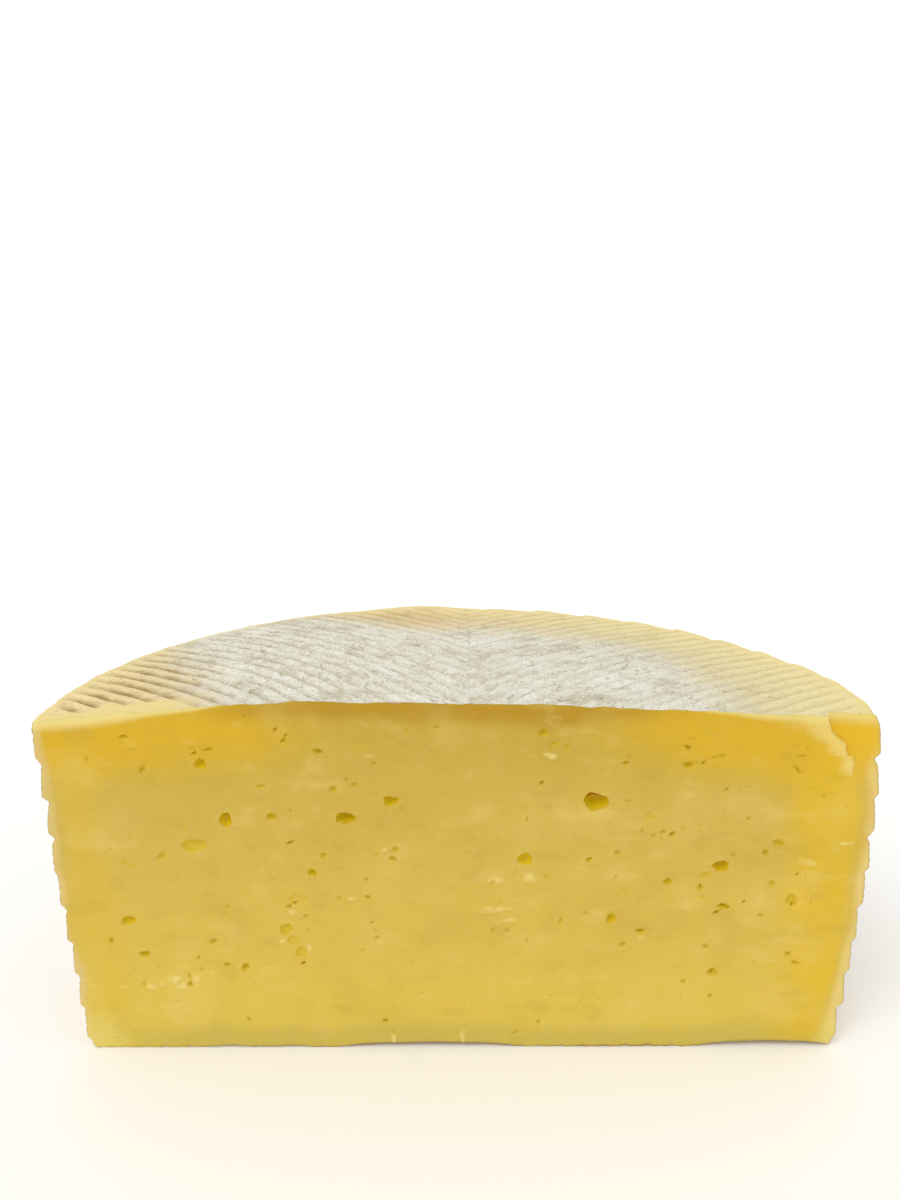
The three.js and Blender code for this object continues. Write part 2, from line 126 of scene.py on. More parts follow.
# The eyes of the cut face: place from the axis and the base, width, height, tilt in degrees
# and how far in they reach.
EYES = (
    (33.5, 72.3, 6.2, 4.6, 0, 4.0), (-27.5, 68.2, 4.6, 3.2, -8, 3.0), (65.3, 54.6, 4.3, 2.9, 0, 2.6),
    (-56.8, 67.8, 3.3, 3.6, 0, 2.4), (-65.2, 60.8, 6.0, 3.8, 8, 1.0), (16.6, 56.7, 3.6, 3.6, 0, 2.0),
    (-16.6, 72.7, 2.7, 2.9, 0, 2.2), (-14.9, 72.8, 1.6, 2.0, 0, 1.0), (-84.2, 39.5, 3.6, 2.6, 12, 1.7),
    (83.9, 45.0, 3.4, 3.0, -35, 0.9), (84.3, 43.6, 1.2, 0.9, 0, 1.0), (67.0, 43.2, 3.0, 1.3, -15, 1.5),
    (65.4, 41.5, 1.7, 1.0, 20, 1.2), (-44.0, 36.8, 3.4, 3.4, 0, 0.9), (-42.2, 33.4, 3.0, 3.4, 20, 0.6),
    (-40.6, 30.0, 2.8, 3.6, -15, 0.7), (-23.0, 86.8, 3.4, 3.2, 0, 0.35), (-40.2, 26.6, 1.5, 1.0, 0, 1.0),
    (-40.5, 45.5, 5.0, 3.0, 0, 0.5), (-41.2, 44.5, 1.0, 0.8, 0, 1.0), (-42.8, 43.5, 1.7, 0.9, 40, 0.9),
    (-61.5, 82.7, 2.6, 3.0, 0, 2.0), (-62.7, 85.4, 1.6, 0.9, 30, 0.8), (-59.2, 86.3, 2.6, 1.0, 10, 0.9),
    (38.8, 39.6, 2.6, 2.8, 0, 1.6), (-36.4, 53.2, 2.3, 2.0, -35, 1.6), (-81.2, 29.5, 2.7, 1.8, 8, 1.5),
    (46.4, 36.1, 2.3, 1.4, -8, 1.4), (65.8, 23.5, 3.0, 2.2, -35, 1.2), (52.4, 50.3, 2.3, 1.8, 0, 1.5),
    (20.3, 90.2, 2.7, 1.9, 15, 1.2), (22.7, 87.3, 2.6, 1.4, 0, 0.7), (26.0, 86.6, 2.0, 1.2, 0, 0.5),
    (55.1, 81.8, 2.5, 1.9, 0, 1.2), (58.6, 82.4, 1.4, 1.2, 0, 0.9), (56.8, 82.5, 1.6, 0.7, 0, 0.5),
    (-55.4, 25.5, 2.1, 2.5, 0, 1.2), (-60.0, 26.3, 1.6, 1.4, 0, 0.9), (-45.5, 68.6, 2.9, 1.9, 0, 1.2),
    (-33.2, 85.7, 2.3, 1.3, -15, 1.2), (78.9, 61.0, 3.1, 1.8, -20, 0.9), (76.0, 58.3, 1.8, 1.2, -25, 0.9),
    (68.0, 57.7, 2.0, 1.0, -25, 0.5), (61.5, 52.0, 4.0, 1.5, 15, 0.5), (60.7, 48.7, 1.1, 2.2, 0, 0.9),
    (61.4, 45.8, 1.6, 1.1, 0, 0.4), (72.0, 44.4, 1.1, 0.9, 0, 0.9), (76.6, 40.4, 1.4, 1.1, 0, 0.7),
    (89.0, 44.3, 0.9, 0.8, 0, 0.5), (85.0, 29.0, 1.7, 1.3, 0, 0.9), (87.0, 26.3, 2.2, 1.0, -14, 0.8),
    (63.5, 31.3, 1.6, 1.3, 0, 0.8), (58.7, 20.7, 1.5, 1.3, 0, 0.7), (66.0, 16.2, 1.0, 1.3, 0, 0.8),
    (-67.2, 66.1, 1.8, 2.2, 0, 0.4), (-73.6, 58.0, 2.6, 1.6, 35, 0.6), (-83.0, 56.3, 2.6, 1.2, -40, 0.4),
    (-81.0, 55.5, 2.6, 0.9, 10, 0.3), (-75.6, 81.2, 1.5, 1.9, 0, 0.9), (-74.5, 82.7, 1.6, 0.6, 55, 0.5),
    (-79.0, 89.7, 2.6, 0.9, -15, 0.8), (-88.5, 84.1, 1.4, 0.9, -40, 0.6), (-77.3, 86.5, 2.0, 0.6, 0, 0.4),
    (-50.7, 78.5, 2.0, 1.0, 0, 0.3), (-50.0, 95.0, 0.9, 0.7, 0, 0.5), (-47.3, 76.8, 2.4, 1.0, 0, 0.6),
    (-41.0, 70.5, 0.7, 0.7, 0, 0.6), (-43.0, 91.4, 1.1, 1.0, 0, 0.9), (-41.2, 88.6, 1.8, 0.7, 20, 0.9),
    (-40.5, 89.9, 0.8, 0.8, 0, 0.7), (-30.1, 75.8, 2.2, 2.0, 0, 0.9), (-26.7, 78.4, 1.2, 0.9, 0, 0.6),
    (-24.9, 77.1, 2.0, 1.1, 0, 0.7), (-20.0, 82.7, 1.2, 0.8, 0, 0.6), (-15.5, 89.0, 2.0, 0.7, 0, 0.4),
    (-12.2, 91.0, 1.0, 0.9, 0, 0.5), (-5.0, 91.8, 2.0, 0.8, 15, 0.6), (-41.4, 61.5, 2.2, 0.7, 25, 1.0),
    (-33.4, 57.8, 1.6, 1.9, 0, 0.8), (-23.0, 51.1, 1.2, 0.8, 0, 0.7), (-15.5, 59.5, 1.8, 1.4, 35, 0.8),
    (-16.2, 57.0, 2.0, 1.3, -20, 0.9), (-20.2, 58.2, 1.5, 0.8, 0, 0.4), (-46.2, 51.4, 1.8, 0.8, 0, 0.3),
    (-8.2, 66.2, 1.6, 0.8, 0, 0.3), (20.2, 77.3, 1.4, 1.3, 0, 1.0), (18.8, 79.3, 2.0, 1.2, 0, 0.3),
    (41.0, 84.2, 1.2, 1.0, 0, 0.5), (40.1, 82.4, 1.7, 1.1, 0, 0.9), (41.3, 72.5, 1.6, 0.8, 0, 0.5),
    (46.5, 68.4, 3.2, 1.8, -25, 0.5), (45.0, 64.6, 0.9, 0.9, 0, 0.6), (48.1, 63.1, 0.9, 1.2, 0, 0.6),
    (50.3, 64.1, 1.6, 1.1, 0, 0.7), (52.6, 63.4, 1.8, 1.2, 0, 1.0), (55.2, 65.2, 0.9, 0.8, 0, 0.5),
    (17.0, 67.7, 0.7, 1.8, 0, 0.6), (32.5, 56.6, 1.6, 1.3, 40, 1.0), (39.4, 58.3, 2.0, 1.0, 0, 0.7),
    (22.1, 51.8, 1.7, 1.1, 0, 0.5), (8.7, 50.3, 0.9, 1.1, 0, 0.5), (13.9, 53.0, 0.6, 1.2, 0, 0.4),
    (39.3, 51.7, 1.0, 1.0, 0, 0.5), (11.5, 75.1, 2.5, 0.7, 0, 0.3), (54.6, 86.3, 1.8, 0.8, -35, 1.0),
    (55.6, 88.7, 2.0, 1.1, 0, 0.4), (61.0, 83.9, 1.2, 0.8, 0, 0.6), (62.8, 84.2, 1.8, 0.9, 0, 0.6),
    (64.8, 75.4, 1.2, 0.8, 0, 0.8), (69.9, 76.3, 1.4, 0.6, 0, 0.4), (70.8, 67.7, 1.0, 1.1, 0, 0.7),
    (81.7, 84.0, 2.8, 0.6, -12, 0.5), (80.2, 86.8, 0.9, 0.8, 0, 0.4), (82.9, 86.0, 0.9, 0.8, 0, 0.4),
    (81.1, 80.6, 3.2, 0.7, -48, 0.7), (88.3, 73.6, 0.9, 1.2, 0, 0.4), (73.0, 61.8, 1.4, 1.5, 0, 0.4),
    (84.5, 52.3, 1.0, 0.9, 0, 0.8), (78.5, 49.5, 1.4, 2.0, 0, 0.6), (-89.3, 33.5, 1.0, 2.2, 0, 0.9),
    (-63.0, 33.3, 2.4, 1.1, 35, 0.9), (-58.5, 43.5, 0.9, 0.9, 0, 0.5), (-59.3, 41.5, 0.8, 0.8, 0, 0.4),
    (-67.3, 28.4, 0.9, 1.2, 0, 0.7), (-82.4, 20.5, 1.0, 2.0, -20, 0.5), (-70.3, 20.2, 1.4, 1.7, 0, 0.9),
    (-70.2, 22.8, 0.7, 2.6, 0, 0.5), (-74.0, 15.0, 1.0, 0.7, 0, 0.4), (-55.8, 9.2, 0.7, 1.8, 20, 0.7),
    (-38.8, 40.6, 0.9, 1.3, 0, 0.6), (-30.0, 45.9, 1.1, 0.8, 0, 0.6), (-22.7, 46.1, 1.8, 0.9, -30, 0.8),
    (-22.0, 38.8, 1.1, 0.8, 0, 0.6), (-20.8, 34.3, 1.4, 0.8, 0, 0.6), (-24.6, 30.5, 0.9, 0.8, 0, 0.5),
    (-19.5, 8.5, 1.7, 1.2, 0, 1.1), (-17.1, 5.2, 0.8, 0.8, 0, 0.6), (10.6, 44.4, 0.9, 0.8, 0, 0.4),
    (8.9, 36.4, 1.0, 1.6, 0, 0.6), (12.4, 36.5, 1.2, 0.8, 0, 0.5), (17.5, 33.4, 0.6, 1.4, 0, 0.4),
    (15.2, 29.7, 0.8, 0.8, 0, 0.4), (26.1, 39.0, 1.6, 2.0, 0, 0.6), (32.3, 41.3, 1.4, 1.1, 0, 0.5),
    (42.2, 32.0, 1.5, 1.7, -40, 0.8), (42.0, 47.5, 3.0, 1.5, 0, 0.3), (21.1, 8.0, 0.9, 1.1, 0, 0.7),
    (15.0, 4.7, 2.6, 0.7, 20, 0.5), (36.5, 15.3, 0.8, 0.8, 0, 0.4),
)

# Pale flakes and ledges that stand out of the cut face: place, width, height, tilt, thickness
FLAKES = (
    (22.0, 84.5, 3.6, 2.0, -10, 0.35), (9.0, 42.5, 9.0, 2.4, 4, 0.30), (-26.5, 45.8, 4.0, 1.2, 0, 0.25),
    (-42.0, 42.0, 4.6, 1.6, 0, 0.20), (-74.6, 21.8, 4.6, 3.2, 15, 0.35), (-80.5, 19.6, 3.2, 2.4, 20, 0.30),
    (-17.4, 2.8, 1.5, 3.8, 0, 0.40), (1.2, 3.8, 1.7, 5.8, 0, 0.40), (95.5, 60.8, 4.0, 1.2, -4, 0.25),
    (47.0, 34.0, 3.4, 1.6, 0, 0.15), (-71.0, 25.5, 3.0, 1.0, 0, 0.15), (-21.0, 84.6, 3.2, 0.9, 0, 0.15),
    (86.5, 55.5, 5.0, 2.6, -20, 0.25), (18.0, 51.5, 5.0, 3.0, 0, 0.20), (-55.5, 7.6, 2.6, 1.0, 0, 0.2),
    (9.5, 51.0, 5.5, 2.4, 0, 0.15), (12.5, 39.5, 6.0, 1.4, 8, 0.15), (-88.0, 19.5, 3.0, 1.4, 0, 0.15),
    (-72.0, 19.8, 4.0, 2.4, -10, 0.35), (-77.6, 20.8, 3.4, 2.2, -20, 0.30),
    (-68.3, 21.6, 2.4, 3.4, 0, 0.30), (-63.5, 24.0, 3.0, 1.4, 0, 0.15), (-38.4, 31.5, 1.2, 3.4, 0, 0.25),
    (-45.2, 33.4, 2.6, 1.2, 15, 0.20), (-18.2, 59.6, 2.8, 1.2, 10, 0.20), (31.0, 69.6, 2.6, 0.8, 0, 0.10),
    (84.0, 47.3, 3.6, 1.0, -20, 0.15),
)
SMALL_EYES = 150           # pinholes that are too many to place one by one
CRUMB_SEED = 11

# Grids: cells across the cut and round the rim, cells up the cut and out from the axis
ACROSS = 432
UP = 216
FITTING_ROUNDS = 4         # rounds that fit the cut's grid to its four edges
RING_STEP = 8              # one point of a piece's back for this many along its edge
PLATE_DEPTH = 10.0         # how deep each surface's own solid reaches
PLATE_INSET = 15.0         # and how far in from its edges
DISC_MIDDLE = 42.0         # about how far behind the cut a half disc's middle lies
SEAM_REACH = math.radians(10)       # a surface is drawn onto the cut's edge over this angle
SHARP_ANGLE = 58           # edges of more degrees than this are shaded as sharp
NET = 64                   # corner values in a noise net
CHART_WIDTH = 206.0        # what the pieces' maps cover, in mm
CHART_HEIGHT = 99.0
CHART_DEPTH = 103.0
CHART_MARGIN = 0.012       # share of a map that stays free at its edges
# The spot of a map that all hidden triangles share
HIDDEN_SPOT = ((0.002, 0.002), (0.008, 0.002), (0.002, 0.008))

CAD_SHIFT = 0.538          # how far right of the axis the middle of the CAD part lies

box_low, box_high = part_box(NODE)
AXIS = np.array([
    (box_low.x + box_high.x) * 500 - CAD_SHIFT,
    box_low.y * 1000,
    box_low.z * 1000,
])


def blend(low, high, value):
    """0 below low, 1 above high and a smooth S between them. Where low is above high, it falls
    from 1 to 0 instead."""
    share = np.clip((value - low) / (high - low), 0, 1)
    return share * share * (3 - 2 * share)


def within(low, full, fading, high, value):
    """0 below low, 1 from full to fading and 0 above high, with a smooth S on either side."""
    return blend(low, full, value) * blend(high, fading, value)


def drift(across, along, size, seed):
    """Smooth seeded noise from -1 to 1: a square net of random values, size mm a mesh, with an
    S-shaped blend between its corners."""
    net = np.random.default_rng(seed).uniform(-1, 1, (NET, NET))
    column, row = np.floor(across / size), np.floor(along / size)
    right, up = blend(0, 1, across / size - column), blend(0, 1, along / size - row)
    i, j = column.astype(int) % NET, row.astype(int) % NET
    i2, j2 = (i + 1) % NET, (j + 1) % NET
    lower = net[i, j] * (1 - right) + net[i2, j] * right
    upper = net[i, j2] * (1 - right) + net[i2, j2] * right
    return lower * (1 - up) + upper * up


def ridge_count(x, y, ridges):
    """Counts one set's ridges outwards from its centre: whole numbers on a ridge, halves in a
    groove. The ridges wander a little off their arcs."""
    middle_x, middle_y, pitch, start = ridges
    wander = 0.09 * drift(x, y, 14, 1) + 0.07 * drift(x, y, 7, 10) + 0.04 * drift(x, y, 3.5, 2)
    return np.hypot(x - middle_x, y - middle_y) / pitch - start + wander


def groove_share(x, y):
    """1 in the middle of a groove and 0 on top of a ridge. Going back, each ridge drops sharply
    into its groove, which rises slowly to the next ridge. The two sets blend where they meet."""
    shares = []
    for ridges in (LEFT_RIDGES, RIGHT_RIDGES):
        count = ridge_count(x, y, ridges) - 0.5
        past = count - np.floor(count)
        shares.append(np.maximum(np.clip(1 - past / SLOW_SLOPE, 0, 1) ** 1.25, blend(0.84, 1.0, past)))
    return shares[0] + (shares[1] - shares[0]) * blend(-2, 2, x - CHEVRON_X)


def print_place(x, y):
    """Where a place lies in the print: across its ridges, counted in ridges, and along them in
    millimetres."""
    on_left = x < CHEVRON_X
    across = [ridge_count(x, y, ridges) for ridges in (LEFT_RIDGES, RIGHT_RIDGES)]
    along = [np.arctan2(np.abs(x - ridges[0]), y - ridges[1]) for ridges in (LEFT_RIDGES, RIGHT_RIDGES)]
    return np.where(on_left, across[0], across[1] - RIGHT_COUNT), RIDGE_RADIUS * np.where(on_left, *along)


def bloom_reach(x, y):
    """How far in mm a place on the top lies inside the white bloom, below 0 outside it. Its edge
    is an arc about the axis on the right, opens out to the rim behind and ends on the left in a
    straight line."""
    angle = np.degrees(np.arctan2(y, x))
    edge = BLOOM_RADIUS + 36 * blend(96, 126, angle) - 3 * blend(40, 0, angle)
    arc = edge - np.hypot(x, y)
    line = (x + BLOOM_LEFT + BLOOM_SLANT * y) / math.hypot(1, BLOOM_SLANT)
    return np.minimum(arc, line)


def top_form(x, y):
    """Height of the top without its print: a low dome, high left of the middle and a little
    sunken right of it."""
    reach = np.minimum(1, np.hypot(x, y) / 100)
    dome = DOME_RISE * (1 - reach * reach)
    rise = LEFT_SWELL * np.exp(-((x + 50) / 18) ** 2)
    sunk = RIGHT_SINK * within(-45, 5, 72, 100, x)
    back = 1 - 0.5 * blend(0, 90, y)
    return RIM_HEIGHT + dome + (rise - sunk) * back


def smeared_margin(x, y):
    """1 beside the left end of the cut, where the print is smeared flat: narrow at the rim and up
    to a finger wide further in, with a ragged edge."""
    width = SMEAR_LEAST + SMEAR_MORE * blend(-94, -80, x)
    off = y + 2 * drift(x, y, 4, 11)
    return blend(-56, -72, x) * blend(width + 3, width - 3, off)


def print_strength(x, y):
    """How strongly the top is printed, from 0 to 1: deep on the left and faint on the right, worn
    away towards the rim, and smeared flat beside the cut."""
    across = 1 - PRINT_FADE * blend(-58, -4, x)
    rim = 1 - RIM_WEAR * blend(0.92, 0.99, np.hypot(x, y) / 100)
    smear = 1 - smeared_margin(x, y)
    cut = 0.2 + 0.8 * blend(0.4, 3.0, y)
    return across * rim * smear * cut


def scallop(x, y):
    """1 in the notches that the band's ribs leave in the top's edge, on the right at the back."""
    angle = np.arctan2(y, x)
    sunk = rib_sink(angle, 0 * angle + RIM_HEIGHT - 2) / RIB_DEPTH
    return within(*NOTCHED_ARC, np.degrees(angle)) * np.clip(sunk, 0, 1.2)


def top_surface(x, y, from_rim):
    """Height of the top: its form less the grooves of the print, with fine wrinkles along them,
    a crumbled edge at the cut, a rise and notches in the edge behind, and the rounding at the
    rim."""
    across, along = print_place(x, y)
    worn = 0.9 + 0.45 * drift(x, y, 8, 3)
    groove = TOP_GROOVE * print_strength(x, y) * worn * groove_share(x, y)
    bloom = blend(-4, 6, bloom_reach(x, y))
    across = across * RIDGE_PITCH
    wrinkle = 0.10 * drift(across, along / 2.6, 1.3, 4) + 0.09 * drift(across, along / 1.6, 0.8, 5)
    wrinkle *= (0.4 + 0.6 * bloom) * blend(-0.5, 3, y) * (0.3 + 0.7 * blend(1, 8, from_rim))
    lumps = 0.10 * drift(x, y, 5, 6) + 0.20 * drift(x, y, 23, 7)
    lumps += BACK_RISE * np.exp(-((x + 12) / 11) ** 2) * blend(16, 1, from_rim)
    crumbled = blend(3, 0, y) * within(-60, -44, 60, 74, x)
    crumb = crumbled * (0.30 * drift(x, y, 6.5, 12) + 0.16 * drift(x, y, 2.4, 13))
    notch = EDGE_NOTCH * blend(8, 0, from_rim) * scallop(x, y)
    edge = 1 - np.clip(from_rim / TOP_ROUND, 0, 1)
    return top_form(x, y) - groove + wrinkle + lumps + crumb - notch - TOP_ROUND / 2 * edge ** 2


def base_surface(x, y, from_rim):
    """Height of the base: flat lands at 0 between V grooves, a smooth margin, the hollows and
    chips where the cut edge is lifted, and the rounding at the rim."""
    reach = np.hypot(x, y)
    depth = BASE_GROOVE * np.clip(2 * groove_share(x, y) - 1, 0, 1)
    height = depth * blend(SMOOTH_MARGIN, SMOOTH_MARGIN - 5, reach)
    for middle, width, rise, deep in LIFTS:
        inside = 1 - ((x - middle) / (width / 2)) ** 2 - (y / deep) ** 2
        height = np.maximum(height, rise * np.sqrt(np.clip(inside, 0, 1)))
    chipped = within(-72, -62, -30, -20, x) * blend(2.5, 0, y)
    height = np.maximum(height, BASE_CHIP * chipped * drift(x, y, 5.5, 14))
    edge = 1 - np.clip(from_rim / FOOT_ROUND, 0, 1)
    return height + FOOT_ROUND / 2 * edge ** 2


def band_place(angle, height):
    """Where a point of the rim lies in the herringbone: its row, its share of the row's height
    and its count of ribs round the rim. Each row leans the other way than the last."""
    along = (height - FIRST_BORDER) / BAND_HEIGHT
    border = np.maximum(np.round(along), 0)
    off = (along - border) * BAND_HEIGHT
    wave = np.where(border > 0, BORDER_WAVE * np.sin(5 * angle + 1.7 * border), 0)
    near = SHOULDER * BAND_HEIGHT
    moved = (off - wave) * near / (near - wave * np.sign(off - wave))
    off = np.where(np.abs(off) < near, moved, off)
    along = np.maximum(border + off / BAND_HEIGHT, 0)
    row = np.floor(along)
    share = along - row
    lean = RIBS_PER_LEAN * np.where(row % 2 == 0, share, 1 - share)
    return row, share, RIB_COUNT * angle / (2 * math.pi) - lean


def rib_sink(angle, height):
    """How far the print lies below the rim's crests: each rib falls slowly across its width from
    its crest and rises sharply to the next one, carries the furrows of its straws, and sinks at
    the borders between rows. It is deeper in some patches than in others, and beside the top
    deep on the right at the back and worn on the left."""
    row, share, count = band_place(angle, height)
    phase = count - np.floor(count)
    across = np.where(row % 2 == 0, phase, 1 - phase)
    slow = 1 - np.clip(across / RIB_CREST, 0, 1) ** 0.9
    sharp = blend(RIB_CREST, 1, across)
    groove = np.where(across < RIB_CREST, slow, sharp)
    worn = np.clip(0.85 + 0.65 * drift(angle * 100, height, WORN_PATCH, 116), 0.1, 1.6)
    degrees = np.degrees(angle)
    near_top = blend(83, 92, height)
    worn = worn + (0.95 - worn) * near_top * within(*NOTCHED_ARC, degrees)
    worn = worn * (1 - 0.6 * near_top * within(92, 104, 166, 176, degrees))
    edge = np.where((row == 0) & (share < 0.5), 0.5, np.minimum(share, 1 - share))
    full = 0.85 * blend(0, SHOULDER, edge) + 0.15 * np.clip((edge - SHOULDER) / 0.4, 0, 1)
    border = BORDER_DEPTH * blend(0.05, 0, edge)
    straw = STRAND_DEPTH * full * (np.abs(np.sin(count * STRANDS * math.pi)) - 0.8)
    return RIB_DEPTH * (1 - full * (1 - groove * worn)) + border - straw


def rim_radius(angle, height, edge_height):
    """Radius of the rim: a barrel that is fuller on the right and leans to the left, less its
    print and the rounding of its edges."""
    most = (BULGE_LEAST + BULGE_MOST) / 2 + (BULGE_MOST - BULGE_LEAST) / 2 * np.cos(angle)
    bulge = most * (1 - ((height - BULGE_HEIGHT) / BULGE_REACH) ** 2)
    lean = LEAN * np.cos(angle) * (height - RIM_HEIGHT / 2) / (RIM_HEIGHT / 2)
    top = np.clip(1 - (edge_height - height) / TOP_ROUND, 0, 1)
    foot = np.clip(1 - height / FOOT_ROUND, 0, 1)
    lumps = 0.2 * drift(angle * 100, height, 17, 8) + 0.08 * drift(angle * 100, height, 3, 9)
    return (RIM_RADIUS + bulge - lean - rib_sink(angle, height) + lumps - TOP_ROUND / 2 * top ** 2
            - FOOT_ROUND / 2 * foot ** 2)


def rim_edges(angle):
    """Heights of the rim's top and bottom edge at each angle."""
    guess = RIM_RADIUS - 0.6
    edge = top_surface(guess * np.cos(angle), guess * np.sin(angle), 0 * angle)
    radius = rim_radius(angle, edge, edge)
    edge = top_surface(radius * np.cos(angle), radius * np.sin(angle), 0 * angle)
    foot = 0 * angle + FOOT_ROUND / 2
    return edge, foot


def tear_side(x, z):
    """How far in mm a place on the cut lies right of the torn corner's edge."""
    edge_x, edge_z = np.array(TEAR_EDGE).T
    wander = 0.35 * drift(z, x, 1.3, 21) * blend(94, 91, z)
    return x - np.interp(z, edge_z[::-1], edge_x[::-1]) + wander


def eye_frame(x, z, eye, phases):
    """Distance from an eye's middle as a share of its uneven outline, which is an ellipse with
    ripples of 2, 3, 5 and 8 waves, and the height in it from -1 to 1."""
    middle_x, middle_z, width, height, tilt = eye[:5]
    turn = math.radians(tilt)
    dx, dz = x - middle_x, z - middle_z
    a = (dx * math.cos(turn) + dz * math.sin(turn)) / (width / 2)
    b = (dz * math.cos(turn) - dx * math.sin(turn)) / (height / 2)
    angle = np.arctan2(b, a)
    ripple = 0.08 * np.sin(2 * angle + phases[0]) + 0.08 * np.sin(3 * angle + phases[1])
    ripple += 0.05 * np.sin(5 * angle + phases[2]) + 0.04 * np.sin(8 * angle + phases[0])
    return np.hypot(a, b) / (1 + ripple), b


def all_eyes():
    """The placed eyes and the seeded pinholes, each with the phases of its outline's ripples."""
    rng = np.random.default_rng(CRUMB_SEED)
    eyes = list(EYES)
    for _ in range(SMALL_EYES):
        size = rng.uniform(0.45, 1.0)
        x, z = rng.uniform(-94, 94), rng.uniform(3, 92)
        eyes.append((x, z, size * rng.uniform(0.8, 1.6), size, rng.uniform(-60, 60),
                     size * rng.uniform(0.15, 0.5)))
    return [(eye, rng.uniform(0, 2 * math.pi, 3)) for eye in eyes]


def near_spot(x, z, spot):
    """Marks the points in and round an eye or a flake, out to where it has faded away."""
    width, height = spot[2:4]
    return (np.abs(x - spot[0]) < width) & (np.abs(z - spot[1]) < height + width / 2)


def draw_to_eyes(x, z):
    """Draws the grid's points towards the outlines of the larger eyes, so that these are crisp:
    a share r near 1 becomes 1 + (r - 1)(0.35 + 0.65 t^2), where t is 1 half a radius away."""
    for eye, phases in all_eyes():
        if min(eye[2:4]) < CRISP_EYE:
            continue
        near = near_spot(x, z, eye)
        share = eye_frame(x[near], z[near], eye, phases)[0]
        t = np.clip((share - 1) / 0.5, -1, 1)
        inside = np.abs(share - 1) < 0.5
        moved = np.where(inside, 1 + (share - 1) * (0.35 + 0.65 * t * t), share)
        scale = moved / np.maximum(share, 1e-6)
        x[near] = eye[0] + (x[near] - eye[0]) * scale
        z[near] = eye[1] + (z[near] - eye[1]) * scale
    return x, z


def dig_eyes(x, z, back, shares):
    """Digs the eyes: at a share r of its outline an eye is (1 - r^2)^0.7 of its full depth. A
    shallow one is a ring with rough bits in it. Only the deep ones get painted shade, brown,
    under their upper edge, and the deep ones are painted a lighter yellow against the shade
    of their hollow."""
    mottle = 0.6 + 0.55 * drift(x, z, 1.1, 39)
    for eye, phases in all_eyes():
        least, depth = min(eye[2:4]), eye[5]
        near = near_spot(x, z, eye)
        share, level = eye_frame(x[near], z[near], eye, phases)
        bits = mottle[near]
        deep = np.clip(depth / (0.30 * least) - 0.2, 0, 1)
        ring = blend(0.35, 0.80, share) * (0.5 + 0.9 * bits)
        pitted = deep + (1 - deep) * np.clip(ring + 0.35 * bits, 0, 1)
        back[near] += depth * np.clip(1 - share ** 2, 0, 1) ** 0.7 * pitted
        found = {
            # Olive in the eyes: partly the paste's own tone there, partly painted shade and bounced light
            # of the hollow.
            "eye": min(1.0, 0.25 + 0.7 * depth) * pitted * blend(1.12, 0.80, share),
            # Painted light: deep eyes are painted a lighter yellow to make up for the shade in their
            # hollow.
            "deep_eye_painted_light": np.clip((depth - 0.9) / 1.0, 0, 1) * blend(1.05, 0.75, share),
            # Painted shade: brown under the upper edge of a deep eye, where its hollow is shaded.
            "painted_roof_shade": blend(1.0, 0.7, share) * blend(-0.25, 0.5, level) * blend(1.3, 3.4, depth),
        }
        if least > 1.7:
            found["flake"] = 0.85 * (1 - deep) * blend(0.75, 0.35, share) * blend(0.8, 1.1, bits)
        for name, value in found.items():
            shares[name][near] = np.maximum(shares[name][near], value)


def lay_flakes(x, z, back, shares):
    """Lets each flake stand out by its thickness, in rough bits."""
    rng = np.random.default_rng(CRUMB_SEED + 1)
    for flake in FLAKES:
        thickness = flake[5]
        near = near_spot(x, z, flake)
        share = eye_frame(x[near], z[near], flake, rng.uniform(0, 2 * math.pi, 3))[0]
        raised = blend(1.2, 0.4, share) * (0.7 + 0.5 * drift(x[near], z[near], 1.5, 35))
        back[near] -= thickness * raised
        value = np.clip(raised, 0, 1) * (0.35 + 1.8 * thickness)
        shares["flake"][near] = np.maximum(shares["flake"][near], value)


def tear_corner(x, z, back, shares):
    """Sets the torn corner back behind its edge, deeper towards the top, and raises a soft lip
    left of that edge, which is widest at the top."""
    side = tear_side(x, z)
    slope = np.clip((z - TEAR_FOOT) / (RIM_HEIGHT - TEAR_FOOT), 0, 1)
    torn = blend(-0.1, 0.5, side)
    width = LIP_LEAST + LIP_MORE * blend(82, 92, z) + 0.6 * drift(x, z, 3, 41)
    lip = blend(-1.3 * width, -0.1 * width, side) * (1 - torn)
    lip *= blend(TEAR_FOOT + 1.5, TEAR_FOOT + 6, z)
    back += TEAR_DEPTH * slope * torn + 0.12 * torn * slope * drift(x, z, 2.6, 36)
    back -= lip * (0.05 + 0.10 * blend(-3, -0.3, side)) * (1 + 0.7 * drift(x, z, 1.7, 37))
    shares["torn"], shares["lip"] = torn * slope, lip


